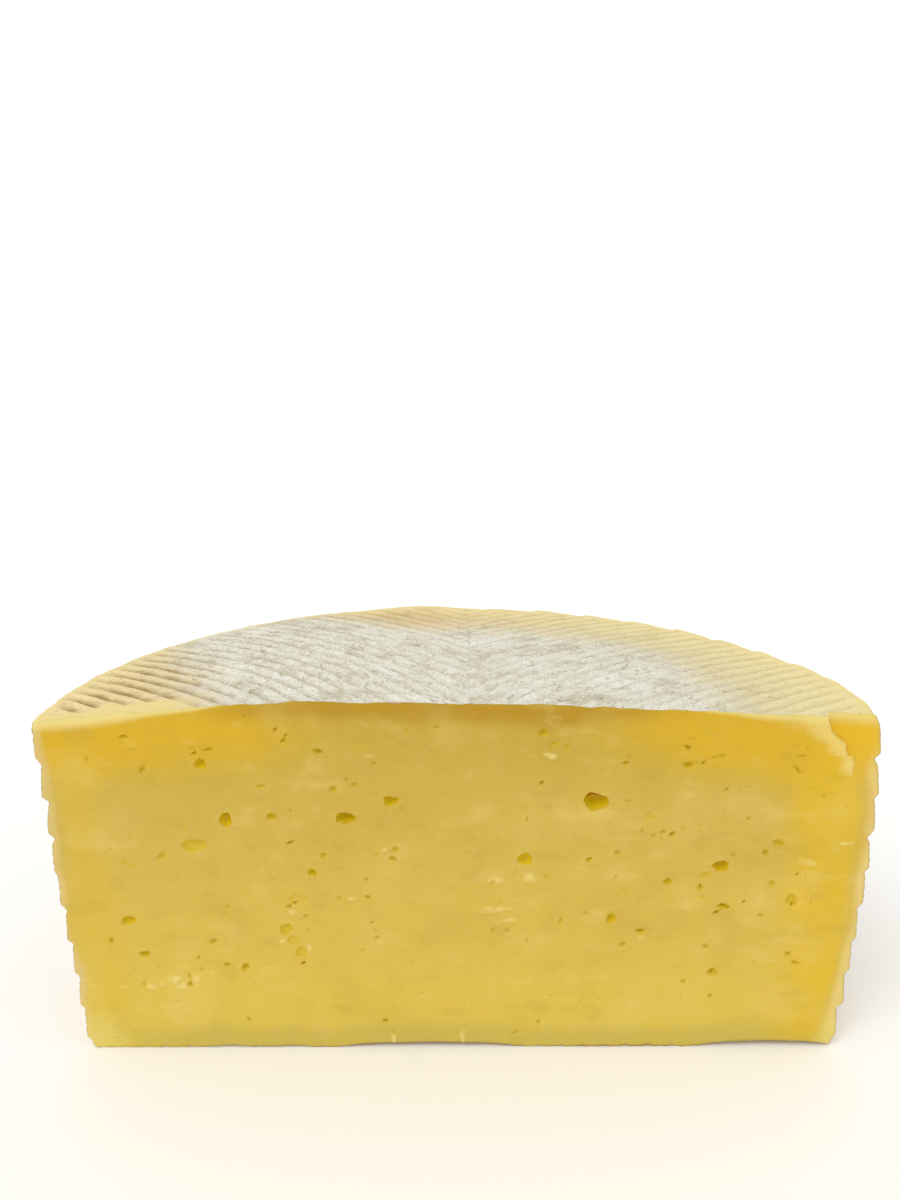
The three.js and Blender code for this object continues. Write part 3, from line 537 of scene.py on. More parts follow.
def cut_relief(x, z, from_edges):
    """How far each place of the cut face lies back from the plane of the cut: waves and fine
    lines left by the knife, roughness right of the middle, eyes, flakes, the torn corner and the
    rounded edges. Also returns the shares of eye, deep eye (painted lighter against its shade),
    painted brown shade under an eye's roof, flake, torn face, lip and rounded side there."""
    left, right, top, base = from_edges
    waves = 0.10 * drift(x, z, 31, 31) + 0.05 * drift(x, z * 2.2, 9, 32)
    knife = KNIFE_LINES * drift(x / 26, z, 0.8, 33)
    rough = CUT_ROUGH * within(-12, 10, 84, 94, x) * within(26, 36, 72, 84, z)
    rough *= blend(-0.5, 0.6, drift(x / 2, z, 7, 40))
    back = waves + knife + (0.012 + rough) * drift(x / 1.7, z, 1.3, 34) + rough * drift(x / 2.2, z, 3.4, 42)
    shares = {name: np.zeros_like(x) for name in ("eye", "deep_eye_painted_light", "painted_roof_shade", "flake")}
    dig_eyes(x, z, back, shares)
    lay_flakes(x, z, back, shares)
    tear_corner(x, z, back, shares)
    sides = np.clip(1 - np.minimum(left, right) / SIDE_ROUND, 0, 1) ** 2
    ends = np.clip(1 - np.minimum(top, base) / CRISP_ROUND, 0, 1) ** 2
    back += np.maximum(SIDE_FALL * sides, CRISP_FALL * ends) * (1 + 0.6 * drift(x, z, 1.2, 38))
    shares["skin"] = sides
    return np.maximum(back, -MOST_PROUD), shares


def cut_face():
    """Grid of the cut face. Rows run from the base to the top, and each row from the left edge to
    the right one, so the outline follows the rim's print. Its widths and heights depend on each
    other and are worked out in a few rounds. Returns points and named fields."""
    u, v = np.meshgrid(np.linspace(0, 1, ACROSS + 1), np.linspace(0, 1, UP + 1))
    ends = np.array([math.pi, 0.0])
    edge, foot = rim_edges(ends)
    z = RIM_HEIGHT * v
    for _ in range(FITTING_ROUNDS):
        left = -rim_radius(0 * u + math.pi, np.clip(z, foot[0], edge[0]), edge[0])
        right = rim_radius(0 * u, np.clip(z, foot[1], edge[1]), edge[1])
        x = left + (right - left) * u
        inner = np.minimum(x - left, right - x)
        low, high = base_surface(x, 0 * x, inner), top_surface(x, 0 * x, inner)
        z = low + (high - low) * v
    free = np.zeros_like(x, bool)
    free[1:-1, 1:-1] = True
    moved_x, moved_z = draw_to_eyes(x.copy(), z.copy())
    x, z = np.where(free, moved_x, x), np.where(free, moved_z, z)
    margins = (x - left, right - x, high - z, z - low)
    back, fields = cut_relief(x, z, margins)
    fields.update(cut_zones(x, z))
    return np.stack([x, back, z], -1), fields


def cut_zones(x, z):
    """Where the paste changes towards the rind, each from 0 to 1, measured from a smooth outline:
    the golden band under the top, brownest in the middle, a darker band below it in the middle
    (partly painted shade), golden bands and beige or creamy edges at the sides, pale corners,
    the olive foot (partly a greenish tint, partly painted contact shade) and the thin crust under
    it. Smeared is the share of soft smears right of the middle."""
    wander = 1.6 * drift(x, z, 13, 51) + 0.7 * drift(x, z, 5, 52)
    bulge = 1 - ((z - BULGE_HEIGHT) / BULGE_REACH) ** 2
    left = x + RIM_RADIUS + BULGE_LEAST * bulge + wander
    right = RIM_RADIUS + BULGE_MOST * bulge - x + wander
    top = top_form(x, 0 * x) - 0.25 - z + 0.35 * drift(x, z, 9, 53)
    base = z - np.maximum(0, base_surface(x, 0 * x, 0 * x + RIM_RADIUS)) + 0.25 * wander
    out = np.abs(x)
    middle = blend(74, 30, np.abs(x + 4))
    reach = blend(50, 94, out)
    patchy = 0.80 + 0.35 * drift(x, z, 12, 54)
    ridge_left = within(1.5, 6, 8, 20, left) * within(5, 16, 72, 90, z)
    ridge_right = within(2, 7, 13, 26, right) * within(0, 5, 82, 93, z)
    return {
        "gold_side": blend(25, 6, top + wander) * blend(18, 60, out),
        "gold_middle": blend(8, 0.4, top + 0.6 * wander) * middle,
        # Partly painted shade: a darker band under the top in the middle.
        "dusk": blend(24, 5, top + wander) * middle,
        "pale_top": blend(0.5 + 3.8 * reach, 0.3 * reach - 0.3, top) * blend(42, 60, out)
                    * (1 - 0.3 * blend(55, 80, x)),
        "gold_edge": np.clip(np.maximum(ridge_left * 0.65, ridge_right * 1.1) * patchy, 0, 1),
        "right_gold": blend(32, 8, right) * (0.45 + 0.55 * blend(30, 70, z)),
        "smeared": 0.24 * blend(-14, 20, x) * within(22, 36, 64, 80, z),
        "beige": blend(3.6, 0.6, left),
        "cream": blend(4.5, 0.5, right),
        "corner": blend(18, 2, np.minimum(left, 2 * right)) * blend(16, 2, z),
        # Greyer and darker near the base: partly a greenish tint of the paste, partly painted contact
        # shade.
        "foot": blend(10, 2.5, base) * (1 - 0.6 * blend(70, 94, out)),
        "foot_line": blend(1.0, 0.3, base) * (0.35 + 0.65 * within(-44, -30, 60, 72, x)),
    }


def drawn_to(points, angle, first, last):
    """Draws a grid's first and last columns onto two lines of points. The pull fades with the
    angle from that column."""
    for column, line in ((0, first), (-1, last)):
        pull = blend(SEAM_REACH, 0, np.abs(angle - angle[column]))[None, :, None]
        points = points + (line - points[:, column])[:, None, :] * pull
    return points


def rim_face(cut):
    """Grid of the rim: rows from base to top, columns round it from the left end of the cut to the
    right one. Its ends are drawn onto the cut face's upright edges."""
    angle, v = np.meshgrid(np.linspace(math.pi, 0, ACROSS + 1), np.linspace(0, 1, UP + 1))
    edge, foot = rim_edges(angle[0])
    z = foot + (edge - foot) * v
    radius = rim_radius(angle, z, edge + 0 * z)
    points = np.stack([radius * np.cos(angle), radius * np.sin(angle), z], -1)
    points = drawn_to(points, angle[0], cut[:, 0], cut[:, -1])
    row, share, count = band_place(angle, z)
    between = blend(0.07, 0.01, np.minimum(share, 1 - share))
    fields = {
        "rib": np.clip(1 - rib_sink(angle, z) / RIB_DEPTH, 0, 1.1) + 0.2 * between,
        "straw": count * STRANDS,
        "border": between,
        "near_cut": blend(5, 0, np.minimum(angle, math.pi - angle) * RIM_RADIUS),
        "near_edge": blend(9, 1, edge - z),
    }
    return points, fields


def disc_face(surface, cut_edge, arc):
    """Grid of the top or the base: rows run out from the middle of the cut's edge to the rim, and
    columns fan round from the left end of the cut to the right one. The first and last columns
    are drawn onto the cut's edge, and the last row is the rim's own edge."""
    middle = cut_edge[ACROSS // 2]
    share = np.linspace(0, 1, UP + 1)[:, None, None]
    angle = np.linspace(math.pi, 0, ACROSS + 1)
    points = middle + (arc - middle) * share
    points = drawn_to(points, angle, cut_edge[ACROSS // 2::-1], cut_edge[ACROSS // 2:])
    from_rim = (1 - share[..., 0]) * np.hypot(arc[:, 0] - middle[0], arc[:, 1] - middle[1])
    x, y = points[..., 0], points[..., 1]
    height = surface(x, y, from_rim)
    height[:, 0], height[:, -1] = points[:, 0, 2], points[:, -1, 2]
    height[-1], height[0] = arc[:, 2], middle[2]
    points[..., 2] = height
    across, along = print_place(x, y)
    cracked = blend(1.8, 0.3, y + 1.1 * drift(x, y, 2.6, 15))
    degrees = np.degrees(np.arctan2(y, x))
    fields = {
        "groove": groove_share(x, y),
        "print": print_strength(x, y),
        "tan": np.exp(-(((x + 22) / 27) ** 2) - ((y - 84) / 13) ** 2),
        "crack": cracked * within(-28, -20, -6, 0, x),
        "ridges": across,
        "along": along,
        "bloom": bloom_reach(x, y),
        "from_rim": from_rim,
        "from_cut": y,
        "margin": smeared_margin(x, y),
        "edge_line": blend(1.8, 0.4, from_rim) * within(94, 108, 158, 174, degrees),
    }
    return points, fields


def grid_triangles(index):
    """Two triangles for each cell of a grid of vertex numbers, without those of no width."""
    a, b = index[:-1, :-1].ravel(), index[:-1, 1:].ravel()
    c, d = index[1:, 1:].ravel(), index[1:, :-1].ravel()
    faces = np.concatenate([np.stack([a, b, c], 1), np.stack([a, c, d], 1)])
    wide = (faces[:, 0] != faces[:, 1]) & (faces[:, 1] != faces[:, 2]) & (faces[:, 2] != faces[:, 0])
    return faces[wide]


def edge_loop(index):
    """The vertex numbers round a grid's edge, each once."""
    loop = np.concatenate([index[0, :-1], index[:-1, -1], index[-1, :0:-1], index[:0:-1, 0]])
    return loop[loop != np.roll(loop, 1)]


def back_triangles(loop, first, count):
    """Walls from a loop to a ring with fewer points, and a fan from the ring to its last point.
    The ring's vertices start at first, and the fan's tip follows them."""
    place = np.arange(len(loop))
    ring = first + ((place + RING_STEP // 2) // RING_STEP) % count
    after, ring_after = np.roll(loop, -1), np.roll(ring, -1)
    walls = np.stack([after, loop, ring], 1)
    turns = ring != ring_after
    links = np.stack([after, ring, ring_after], 1)[turns]
    around = first + np.arange(count)
    fan = np.stack([np.roll(around, -1), around, np.full(count, first + count)], 1)
    return np.concatenate([walls, links, fan])


def make_piece(name, material, points, fields, flat, inward, flip, pole=False):
    """Makes one closed piece. Its front is the grid, and its walls run from the grid's edge to a
    ring that inward gives, where its back closes. Fields become attributes, and flat gives the
    places on the piece's own map. Hidden triangles share one small spot of that map. Flip turns
    all faces over, and at a pole the grid's first row is a single point."""
    rows, columns = points.shape[:2]
    index = np.arange(rows * columns).reshape(rows, columns)
    if pole:
        index[0] = 0
    loop = edge_loop(index)
    front = points.reshape(-1, 3)
    ring = inward(front[loop][::RING_STEP])
    vertices = np.concatenate([front, ring, ring.mean(0)[None]])
    shown = grid_triangles(index)
    hidden = back_triangles(loop, len(front), len(ring))
    faces = np.concatenate([shown, hidden])
    if flip:
        faces = faces[:, ::-1]
    used, faces = np.unique(faces, return_inverse=True)
    faces = faces.reshape(-1, 3)
    vertices = (vertices[used] + AXIS) / 1000

    mesh = bpy.data.meshes.new(name)
    mesh.vertices.add(len(vertices))
    mesh.vertices.foreach_set("co", vertices.ravel())
    mesh.loops.add(faces.size)
    mesh.loops.foreach_set("vertex_index", faces.ravel().astype(np.int32))
    mesh.polygons.add(len(faces))
    mesh.polygons.foreach_set("loop_start", np.arange(0, faces.size, 3, dtype=np.int32))
    mesh.polygons.foreach_set("use_smooth", np.ones(len(faces), bool))
    mesh.update(calc_edges=True)

    spare = len(ring) + 1
    for field, values in fields.items():
        whole = np.concatenate([np.ravel(values), np.zeros(spare)])[used]
        layer = mesh.attributes.new(field, "FLOAT", "POINT")
        layer.data.foreach_set("value", whole.astype(np.float32))

    spots = np.concatenate([flat(front), np.zeros((spare, 2))])[used]
    corners = CHART_MARGIN + (1 - 2 * CHART_MARGIN) * spots[faces]
    corners[len(shown):] = np.array(HIDDEN_SPOT)
    chart = mesh.uv_layers.new(name="OFBake")
    chart.uv.foreach_set("vector", corners.ravel().astype(np.float32))
    mesh.set_sharp_from_angle(angle=math.radians(SHARP_ANGLE))
    mesh.materials.append(material)
    mesh.validate()

    piece = bpy.data.objects.new(name, mesh)
    bpy.context.scene.collection.objects.link(piece)
    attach(piece, "root")
    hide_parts(NODE)
    return piece


def shade(code, alpha=1.0):
    """A colour written as sRGB hex, as linear light."""
    parts = [int(code[place:place + 2], 16) / 255 for place in (1, 3, 5)]
    return tuple(part / 12.92 if part <= 0.04045 else ((part + 0.055) / 1.055) ** 2.4
                 for part in parts) + (alpha,)


def add(tree, kind, *feeds, **settings):
    """Adds a node: settings are its own properties, and each feed names an input and gives the
    value or the socket that goes into it."""
    made = tree.nodes.new(kind)
    for name, value in settings.items():
        setattr(made, name, value)
    for name, value in feeds:
        if isinstance(value, bpy.types.NodeSocket):
            tree.links.new(value, made.inputs[name])
        else:
            made.inputs[name].default_value = value
    return made


def new_finish(name, fields=(), **sockets):
    """A material with one Principled surface, whose even values are set on its own sockets, and
    the piece's own fields that it reads, by name."""
    material = bpy.data.materials.new(name)
    material.use_nodes = True
    tree = material.node_tree
    surface = tree.nodes["Principled BSDF"]
    for socket, value in sockets.items():
        surface.inputs[socket.replace("_", " ")].default_value = value
    field = {each: add(tree, "ShaderNodeAttribute", attribute_name=each).outputs["Fac"]
             for each in fields}
    return material, tree, surface, field


def wheel_place(tree):
    """Object coordinates turned into the wheel's own millimetres."""
    place = add(tree, "ShaderNodeTexCoord").outputs["Object"]
    return add(tree, "ShaderNodeMapping", ("Vector", place), ("Location", tuple(-AXIS)),
               ("Scale", (1000, 1000, 1000))).outputs[0]


def grain(tree, place, size, stretch=(1, 1, 1), detail=3, rough=0.55):
    """Noise whose patches are about size mm across, stretched along each axis."""
    scale = tuple(1 / (size * part) for part in stretch)
    spread = add(tree, "ShaderNodeMapping", ("Vector", place), ("Scale", scale))
    return add(tree, "ShaderNodeTexNoise", ("Vector", spread.outputs[0]), ("Scale", 1.0),
               ("Detail", detail), ("Roughness", rough)).outputs["Fac"]


def paint(tree, ground, layers):
    """Lays colours over a ground, each from nothing where its field is low to its share where the
    field is high."""
    for colour, field, low, high, share in layers:
        mask = add(tree, "ShaderNodeMapRange", ("Value", field), ("From Min", low),
                   ("From Max", high), ("To Max", share), interpolation_type="SMOOTHSTEP")
        ground = add(tree, "ShaderNodeMix", (0, mask.outputs[0]), (6, ground), (7, shade(colour)),
                     data_type="RGBA").outputs[2]
    return ground


def cover(tree, surface, colour, patterns, strength, height):
    """Gives a surface its colour and, as relief, the sum of two patterns, height metres high."""
    tree.links.new(colour, surface.inputs["Base Color"])
    both = add(tree, "ShaderNodeMath", (0, patterns[0]), (1, patterns[1]), operation="ADD").outputs[0]
    bump = add(tree, "ShaderNodeBump", ("Height", both), ("Strength", strength), ("Distance", height))
    tree.links.new(bump.outputs[0], surface.inputs["Normal"])


def paste_finish():
    """Pressed curd, aged some months and cut with a knife: firm, ivory yellow and a little waxy.
    It darkens to gold towards the rind, and torn bits are pale. The eyes look olive, partly their
    own tone and partly painted shade and bounced light; deep eyes get painted brown shade under their
    roofs and a painted lighter yellow against their own shade. The paste is painted a little darker
    towards the top, partly as painted shade."""
    material, tree, surface, field = new_finish(
        "pressed_sheep_curd",
        ("gold_side", "gold_middle", "gold_edge", "right_gold", "dusk", "smeared", "foot", "foot_line",
         "beige", "cream", "corner", "torn", "lip", "pale_top", "eye", "deep_eye_painted_light", "flake", "painted_roof_shade", "skin"),
        Roughness=0.46, IOR=1.45, Specular_IOR_Level=0.35,
        Subsurface_Weight=0.25, Subsurface_Scale=0.002, Subsurface_Radius=(1.0, 0.55, 0.2))
    place = wheel_place(tree)
    height = add(tree, "ShaderNodeSeparateXYZ", ("Vector", place)).outputs["Z"]
    blotch = grain(tree, place, 26, detail=2)
    cloud = grain(tree, place, 8, (1.7, 1, 1), detail=4, rough=0.6)
    smear = grain(tree, place, 6, (2.6, 1, 1), detail=3, rough=0.5)
    speck = grain(tree, place, 1.5, (1.5, 1, 1), detail=3, rough=0.65)
    # Painted shade: tiny pinholes drawn as dark olive dots, with no hollow in the surface.
    pinhole_shade_dots = grain(tree, place, 1.1, detail=1)
    colour = paint(tree, shade("#DBBE4C"), [
        # Darker towards the top: partly the paste's own tone, partly painted shade.
        ("#D6B84C", height, 14, 38, 1.0),
        ("#CFB048", height, 38, 66, 1.0),
        ("#C9AC44", height, 64, 88, 1.0),
        ("#D3B03E", field["right_gold"], 0, 1, 0.6),
        # Darker band under the top in the middle: partly the paste's tone, partly painted shade.
        ("#C5A63C", field["dusk"], 0, 1, 0.9),
        ("#D9AF1A", field["gold_side"], 0, 1, 0.95),
        ("#B88E12", field["gold_middle"], 0, 1, 0.95),
        ("#DFB718", field["gold_edge"], 0, 1, 0.80),
        ("#E2C66A", blotch, 0.52, 0.72, 0.30),
        ("#BB9A30", blotch, 0.48, 0.30, 0.22),
        ("#E6CC74", cloud, 0.53, 0.72, 0.34),
        ("#B99A36", cloud, 0.47, 0.30, 0.28),
        ("#E9D080", smear, 0.53, 0.70, field["smeared"]),
        ("#E6CC78", speck, 0.60, 0.74, 0.20),
        ("#AB8C26", speck, 0.41, 0.29, 0.18),
        # Painted shade: dark olive dots in place of tiny holes.
        ("#A48C14", pinhole_shade_dots, 0.735, 0.78, 0.6),
        # Olive foot: partly the paste's tint, partly painted contact shade near the floor.
        ("#C8B450", field["foot"], 0, 1, 0.8),
        ("#DAC07C", field["beige"], 0, 1, 0.75),
        ("#EFD794", field["cream"], 0, 1, 0.5),
        ("#E2CE6C", field["corner"], 0, 1, 0.8),
        ("#E2B618", field["torn"], 0.1, 0.7, 0.9),
        ("#EACF74", field["lip"], 0, 1, 0.8),
        ("#EFDA8C", field["pale_top"], 0, 1, 0.85),
        # Olive in the eyes: partly the paste's own tone there, partly painted shade and bounced light of
        # the hollow.
        ("#D3B410", field["eye"], 0, 0.85, 0.85),
        # Painted light: a lighter yellow in the deep eyes that makes up for the shade in their hollow.
        ("#E2C80A", field["deep_eye_painted_light"], 0, 0.85, 0.9),
        ("#EAD484", field["flake"], 0, 0.9, 0.75),
        # Painted shade: brown under the upper edge of the deep eyes.
        ("#B8660A", field["painted_roof_shade"], 0, 1, 0.9),
        ("#C8A568", field["skin"], 0.1, 0.8, 0.5),
        ("#AC8644", field["foot_line"], 0, 1, 0.8),
    ])
    streak = grain(tree, place, 0.7, (30, 1, 1), detail=2)
    pores = grain(tree, place, 0.45, detail=3, rough=0.6)
    cover(tree, surface, colour, (streak, pores), 0.25, 0.00012)
    return material


def crease_place(tree, field):
    """The print's own coordinates in mm: across its ridges, and along them."""
    across = add(tree, "ShaderNodeMath", (0, field["ridges"]), (1, RIDGE_PITCH), operation="MULTIPLY")
    return add(tree, "ShaderNodeCombineXYZ", ("X", across.outputs[0]), ("Y", field["along"])).outputs[0]


def crackle(tree, lines, size):
    """Crackled crust: low in the cracks between cells that are longer along the ridges, but only
    where a noise lets the cracks through."""
    bend = add(tree, "ShaderNodeTexNoise", ("Vector", lines), ("Scale", 0.7 / size), ("Detail", 2.0))
    bent = add(tree, "ShaderNodeVectorMath", (0, bend.outputs["Color"]), (1, (size, size, 0.0)), (2, lines),
               operation="MULTIPLY_ADD")
    cells = add(tree, "ShaderNodeMapping", ("Vector", bent.outputs[0]),
                ("Scale", (1 / size, 0.30 / size, 1.0)))
    crack = add(tree, "ShaderNodeTexVoronoi", ("Vector", cells.outputs[0]), ("Scale", 1.0),
                feature="DISTANCE_TO_EDGE").outputs["Distance"]
    gate = grain(tree, lines, 2.2 * size, (1, 1.5, 1), detail=3, rough=0.6)
    return add(tree, "ShaderNodeMath", (0, gate), (1, 0.6), (2, crack),
               operation="MULTIPLY_ADD").outputs[0]


def top_finish():
    """Natural rind pressed under a ridged board: straw-coloured, browner in its grooves (partly the
    rind's own tone, partly painted shade), and dusted in the middle with dry white bloom that has
    cracked into fine creases along the grooves."""
    material, tree, surface, field = new_finish(
        "bloomed_rind",
        ("groove", "print", "tan", "crack", "ridges", "along", "bloom", "from_rim", "margin", "edge_line"),
        Roughness=0.85, IOR=1.45, Specular_IOR_Level=0.2)
    place = wheel_place(tree)
    lines = crease_place(tree, field)
    rightwards = add(tree, "ShaderNodeSeparateXYZ", ("Vector", place)).outputs["X"]
    patch = grain(tree, place, 11, detail=4, rough=0.6)
    smooth = grain(tree, place, 7, detail=2)
    fine = grain(tree, place, 0.65, detail=3, rough=0.7)
    hair = grain(tree, lines, 0.9, (1, 2.4, 1), detail=3, rough=0.6)
    streak = grain(tree, lines, 2.2, (1, 3.5, 1), detail=3, rough=0.6)
    broken = add(tree, "ShaderNodeMath", (0, streak), (1, field["groove"]), operation="ADD").outputs[0]
    crack = crackle(tree, lines, 2.1)
    grooved = add(tree, "ShaderNodeMath", (0, field["print"]), (1, 0.75), (2, 0.1),
                  operation="MULTIPLY_ADD").outputs[0]
    ragged = add(tree, "ShaderNodeMath", (0, patch), (1, 24.0), (2, field["bloom"]),
                 operation="MULTIPLY_ADD").outputs[0]
    ragged = add(tree, "ShaderNodeMath", (0, hair), (1, 14.0), (2, ragged),
                 operation="MULTIPLY_ADD").outputs[0]
    rind = paint(tree, shade("#E9D29E"), [
        ("#E9DCA6", rightwards, -10, 55, 1.0),
        ("#D8BC8A", field["tan"], 0.15, 0.9, 0.85),
        ("#F0DFA2", field["from_rim"], 16, 3, 0.7),
        ("#D9CFAE", field["bloom"], -22, -3, 0.6),
        ("#C6AB78", patch, 0.54, 0.74, 0.35),
        ("#F5E7BC", hair, 0.52, 0.70, 0.40),
        # Brown in the grooves: partly the rind's own tone, partly painted shade in the hollows.
        ("#A68B56", broken, 0.62, 1.40, field["print"]),
        ("#A88D5C", hair, 0.43, 0.28, 0.35),
        ("#94794A", crack, 0.32, 0.23, 0.30),
        ("#EFD88E", field["margin"], 0, 1, 0.8),
    ])
    white = paint(tree, shade("#E3DFCE"), [
        ("#ECE8DB", hair, 0.52, 0.68, 0.55),
        ("#C4BCA3", patch, 0.50, 0.68, 0.75),
        ("#F0EDE4", patch, 0.47, 0.32, 0.65),
        # Darker along the grooves in the bloom: partly painted shade in the hollows.
        ("#AFA68A", broken, 0.72, 1.50, grooved),
        ("#AFA78D", streak, 0.45, 0.32, 0.50),
        ("#B7AF97", hair, 0.47, 0.32, 0.55),
        ("#F8F5ED", fine, 0.54, 0.66, 0.75),
        ("#948B6E", fine, 0.43, 0.32, 0.68),
        ("#8F8568", crack, 0.32, 0.24, 0.45),
        ("#E2DFD1", smooth, 0.58, 0.66, 0.75),
    ])
    bloomed = add(tree, "ShaderNodeMapRange", ("Value", ragged), ("From Min", 9.0), ("From Max", 28.0),
                  interpolation_type="SMOOTHSTEP").outputs[0]
    colour = add(tree, "ShaderNodeMix", (0, bloomed), (6, rind), (7, white), data_type="RGBA").outputs[2]
    colour = paint(tree, colour, [
        ("#EFD98E", field["from_rim"], 4.0, 0.5, 0.75),
        ("#A9A57C", field["edge_line"], 0, 1, 0.55),
        ("#B07A38", field["crack"], 0.3, 0.9, 0.7),
    ])
    cover(tree, surface, colour, (fine, hair), 0.6, 0.0003)
    return material


def rim_finish():
    """Natural rind printed by a plaited grass band: straw yellow on the ribs and brown in the
    furrows, with thin patches of bloom."""
    material, tree, surface, field = new_finish(
        "plait_printed_rind", ("rib", "straw", "border", "near_edge", "near_cut"),
        Roughness=0.75, IOR=1.45, Specular_IOR_Level=0.25)
    place = wheel_place(tree)
    patch = grain(tree, place, 24, detail=4, rough=0.6)
    fine = grain(tree, place, 1.4, detail=3, rough=0.65)
    slow = add(tree, "ShaderNodeMath", (0, patch), (1, 3.0), operation="MULTIPLY").outputs[0]
    straws = add(tree, "ShaderNodeCombineXYZ", ("X", field["straw"]), ("Y", slow)).outputs[0]
    fibre = grain(tree, straws, 0.30, (1, 4, 1), detail=2)
    colour = paint(tree, shade("#C09D5F"), [
        ("#DDC184", field["rib"], 0.0, 0.42, 1.0),
        ("#EFDCA0", field["rib"], 0.50, 1.10, 0.85),
        ("#DAD2BA", patch, 0.54, 0.70, 0.65),
        ("#C49F5E", patch, 0.44, 0.30, 0.55),
        ("#F4E6B8", fibre, 0.54, 0.70, 0.40),
        ("#A98650", fibre, 0.46, 0.32, 0.35),
        ("#C2A263", field["border"], 0, 1, 0.50),
        ("#8F7550", fine, 0.38, 0.26, 0.35),
        ("#EFD98F", field["near_edge"], 0, 1, 0.5),
        ("#EAD08A", field["near_cut"], 0, 1, 0.6),
    ])
    cover(tree, surface, colour, (fine, fibre), 0.6, 0.0003)
    return material


def base_finish():
    """The same natural rind where it lay on its board: smoother, tan and a little greasy, with
    bloom left in the grooves."""
    material, tree, surface, field = new_finish(
        "board_printed_rind", ("groove", "ridges", "along", "from_rim", "from_cut"),
        Roughness=0.7, IOR=1.45, Specular_IOR_Level=0.25)
    place = wheel_place(tree)
    lines = crease_place(tree, field)
    patch = grain(tree, place, 19, detail=4, rough=0.6)
    fine = grain(tree, place, 1.4, detail=3, rough=0.65)
    hair = grain(tree, lines, 0.8, (1, 6, 1), detail=3, rough=0.6)
    colour = paint(tree, shade("#E0C68A"), [
        ("#CDAA6B", patch, 0.48, 0.70, 0.70),
        ("#EAD9A6", patch, 0.44, 0.28, 0.60),
        ("#D9D2BC", field["groove"], 0.50, 0.90, 0.60),
        ("#B08C55", hair, 0.44, 0.30, 0.40),
        ("#F2E3B4", hair, 0.56, 0.72, 0.35),
        ("#9A7B4B", fine, 0.38, 0.26, 0.35),
        ("#EAD08A", field["from_rim"], 6, 0.5, 0.6),
        ("#C9A45F", field["from_cut"], 3.0, 0.3, 0.5),
    ])
    cover(tree, surface, colour, (fine, hair), 0.5, 0.00025)
    return material


def inward_cut(edge):
    """The cut piece's hidden ring: back from the cut and in from all four edges."""
    middle = RIM_HEIGHT / 2
    return np.stack([
        edge[:, 0] * (1 - PLATE_INSET / RIM_RADIUS),
        edge[:, 1] + PLATE_DEPTH,
        middle + (edge[:, 2] - middle) * (1 - PLATE_INSET / middle),
    ], 1)


def inward_rim(edge):
    """The rim piece's hidden ring: in from the rim and away from its four edges."""
    middle, quarter, narrowed = RIM_HEIGHT / 2, math.pi / 2, 0.89
    angle = quarter + (np.arctan2(edge[:, 1], edge[:, 0]) - quarter) * narrowed
    radius = np.hypot(edge[:, 0], edge[:, 1]) - PLATE_DEPTH
    height = middle + (edge[:, 2] - middle) * (1 - PLATE_INSET / middle)
    return np.stack([radius * np.cos(angle), radius * np.sin(angle), height], 1)


def inward_disc(level):
    """The hidden ring of the top or the base, flat at that level, as a function of its edge."""
    middle = np.array([0.0, DISC_MIDDLE])

    def ring(edge):
        flat = middle + (edge[:, :2] - middle) * (1 - PLATE_INSET / DISC_MIDDLE)
        return np.column_stack([flat, np.full(len(edge), level)])
    return ring


def chart_rim(points):
    """The rim's map: the angle round it and the height."""
    angle = np.arctan2(points[:, 1], points[:, 0])
    return np.clip(np.stack([1 - angle / math.pi, points[:, 2] / CHART_HEIGHT], 1), 0, 1)


def chart_flat(axis, reach):
    """The map of a flat piece seen straight on, as a function of its points: its width, and the
    axis of that number over its reach."""
    def chart(points):
        across = points[:, 0] / CHART_WIDTH + 0.5
        return np.clip(np.stack([across, points[:, axis] / reach], 1), 0, 1)
    return chart


def build_cheese():
    """The four surfaces, each drawn onto the edges of those made before it."""
    cut, cut_fields = cut_face()
    rim, rim_fields = rim_face(cut)
    top, top_fields = disc_face(top_surface, cut[-1], rim[-1])
    base, base_fields = disc_face(base_surface, cut[0], rim[0])
    make_piece("cut_face", paste_finish(), cut, cut_fields,
               chart_flat(2, CHART_HEIGHT), inward_cut, False)
    make_piece("rim_rind", rim_finish(), rim, rim_fields, chart_rim, inward_rim, True)
    make_piece("top_rind", top_finish(), top, top_fields,
               chart_flat(1, CHART_DEPTH), inward_disc(RIM_HEIGHT - PLATE_DEPTH), False, pole=True)
    make_piece("base_rind", base_finish(), base, base_fields,
               chart_flat(1, CHART_DEPTH), inward_disc(PLATE_DEPTH), True, pole=True)


def add_floor():
    """A plain white sheet to stand on."""
    mesh = bpy.data.meshes.new("floor")
    reach = 6.0
    mesh.from_pydata([(-reach, -reach, 0), (reach, -reach, 0), (reach, reach, 0), (-reach, reach, 0)],
                     [], [(0, 1, 2, 3)])
    material = new_finish("white_paper_sweep", Base_Color=shade("#FDFDFC"), Roughness=0.95)[0]
    mesh.materials.append(material)
    floor = bpy.data.objects.new("floor", mesh)
    floor.location.z = box_low.z
    bpy.context.scene.collection.objects.link(floor)


def add_sun(place, target, spread, strength, colour):
    """Even light from the direction of a place in metres towards a target, softened by spread."""
    data = bpy.data.lights.new("sky_light", "SUN")
    data.angle = math.radians(spread)
    data.energy = strength
    data.color = shade(colour)[:3]
    light = bpy.data.objects.new("sky_light", data)
    aim = Vector(target) - Vector(place)
    light.matrix_world = Matrix.Translation(place) @ aim.to_track_quat("-Z", "Y").to_matrix().to_4x4()
    bpy.context.scene.collection.objects.link(light)


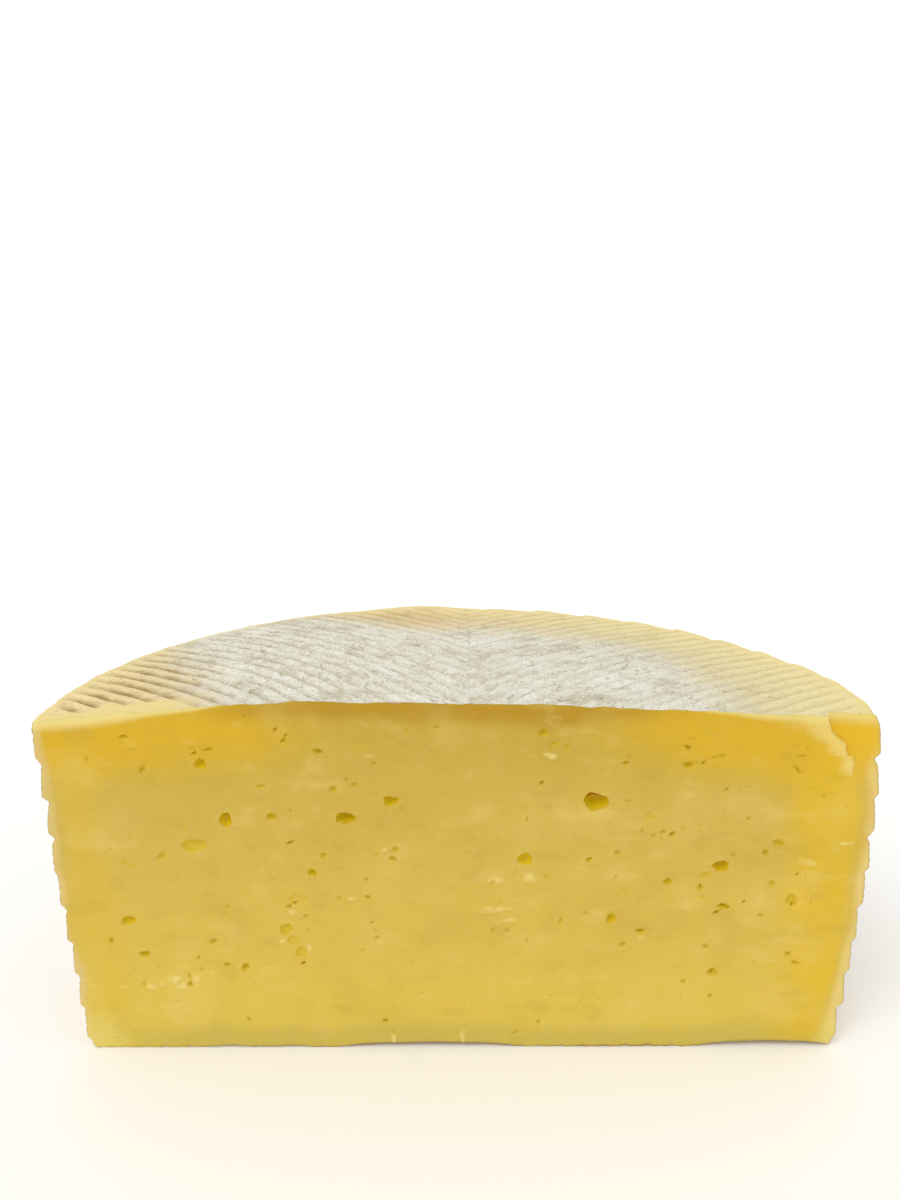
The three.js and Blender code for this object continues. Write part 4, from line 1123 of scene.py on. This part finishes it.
def add_studio():
    """A white room of light, with more light from above, in front and to the left. The room itself
    shows as plain white."""
    world = bpy.data.worlds.new("studio")
    world.use_nodes = True
    tree = world.node_tree
    room = tree.nodes["Background"]
    room.inputs["Color"].default_value = shade("#FFFFFF")
    room.inputs["Strength"].default_value = 0.84
    shown = add(tree, "ShaderNodeBackground", ("Color", shade("#FFFFFF")), ("Strength", 1.0))
    seen = add(tree, "ShaderNodeLightPath").outputs["Is Camera Ray"]
    both = add(tree, "ShaderNodeMixShader", (0, seen), (1, room.outputs[0]), (2, shown.outputs[0]))
    tree.links.new(both.outputs[0], tree.nodes["World Output"].inputs["Surface"])
    bpy.context.scene.world = world
    add_sun((-0.55, -0.75, 1.25), (0, 0, 0.05), 30, 0.85, "#FFFDF8")
    bpy.context.scene.view_settings.view_transform = "Standard"
    bpy.context.scene.view_settings.look = "None"


def add_camera():
    """The photograph's viewpoint, fitted to the wheel's outline: its place in wheel mm, how far it
    looks down, left and sideways, its focal length and how low its axis meets the picture."""
    photo_height = 1200.0
    focal = 1175.6
    axis_below_middle = 230.0
    down, yaw, roll = math.radians(25.87), math.radians(-0.56), math.radians(-0.46)
    place = (np.array([0.6, -259.1, 190.6]) + AXIS) / 1000
    ahead = Vector((math.sin(yaw) * math.cos(down), math.cos(yaw) * math.cos(down), -math.sin(down)))
    level = ahead.cross(Vector((0, 0, 1))).normalized()
    upright = level.cross(ahead)
    right = level * math.cos(roll) + upright * math.sin(roll)
    up = upright * math.cos(roll) - level * math.sin(roll)
    data = bpy.data.cameras.new("camera")
    data.sensor_width = 36.0
    data.lens = focal * data.sensor_width / photo_height
    data.shift_y = axis_below_middle / photo_height
    data.clip_start = 0.01
    data.clip_end = 50
    camera = bpy.data.objects.new("camera", data)
    turn = Matrix((right, up, -ahead)).transposed().to_4x4()
    camera.matrix_world = Matrix.Translation(Vector(place)) @ turn
    bpy.context.scene.collection.objects.link(camera)
    bpy.context.scene.camera = camera


add_camera()
build_cheese()
add_floor()
add_studio()
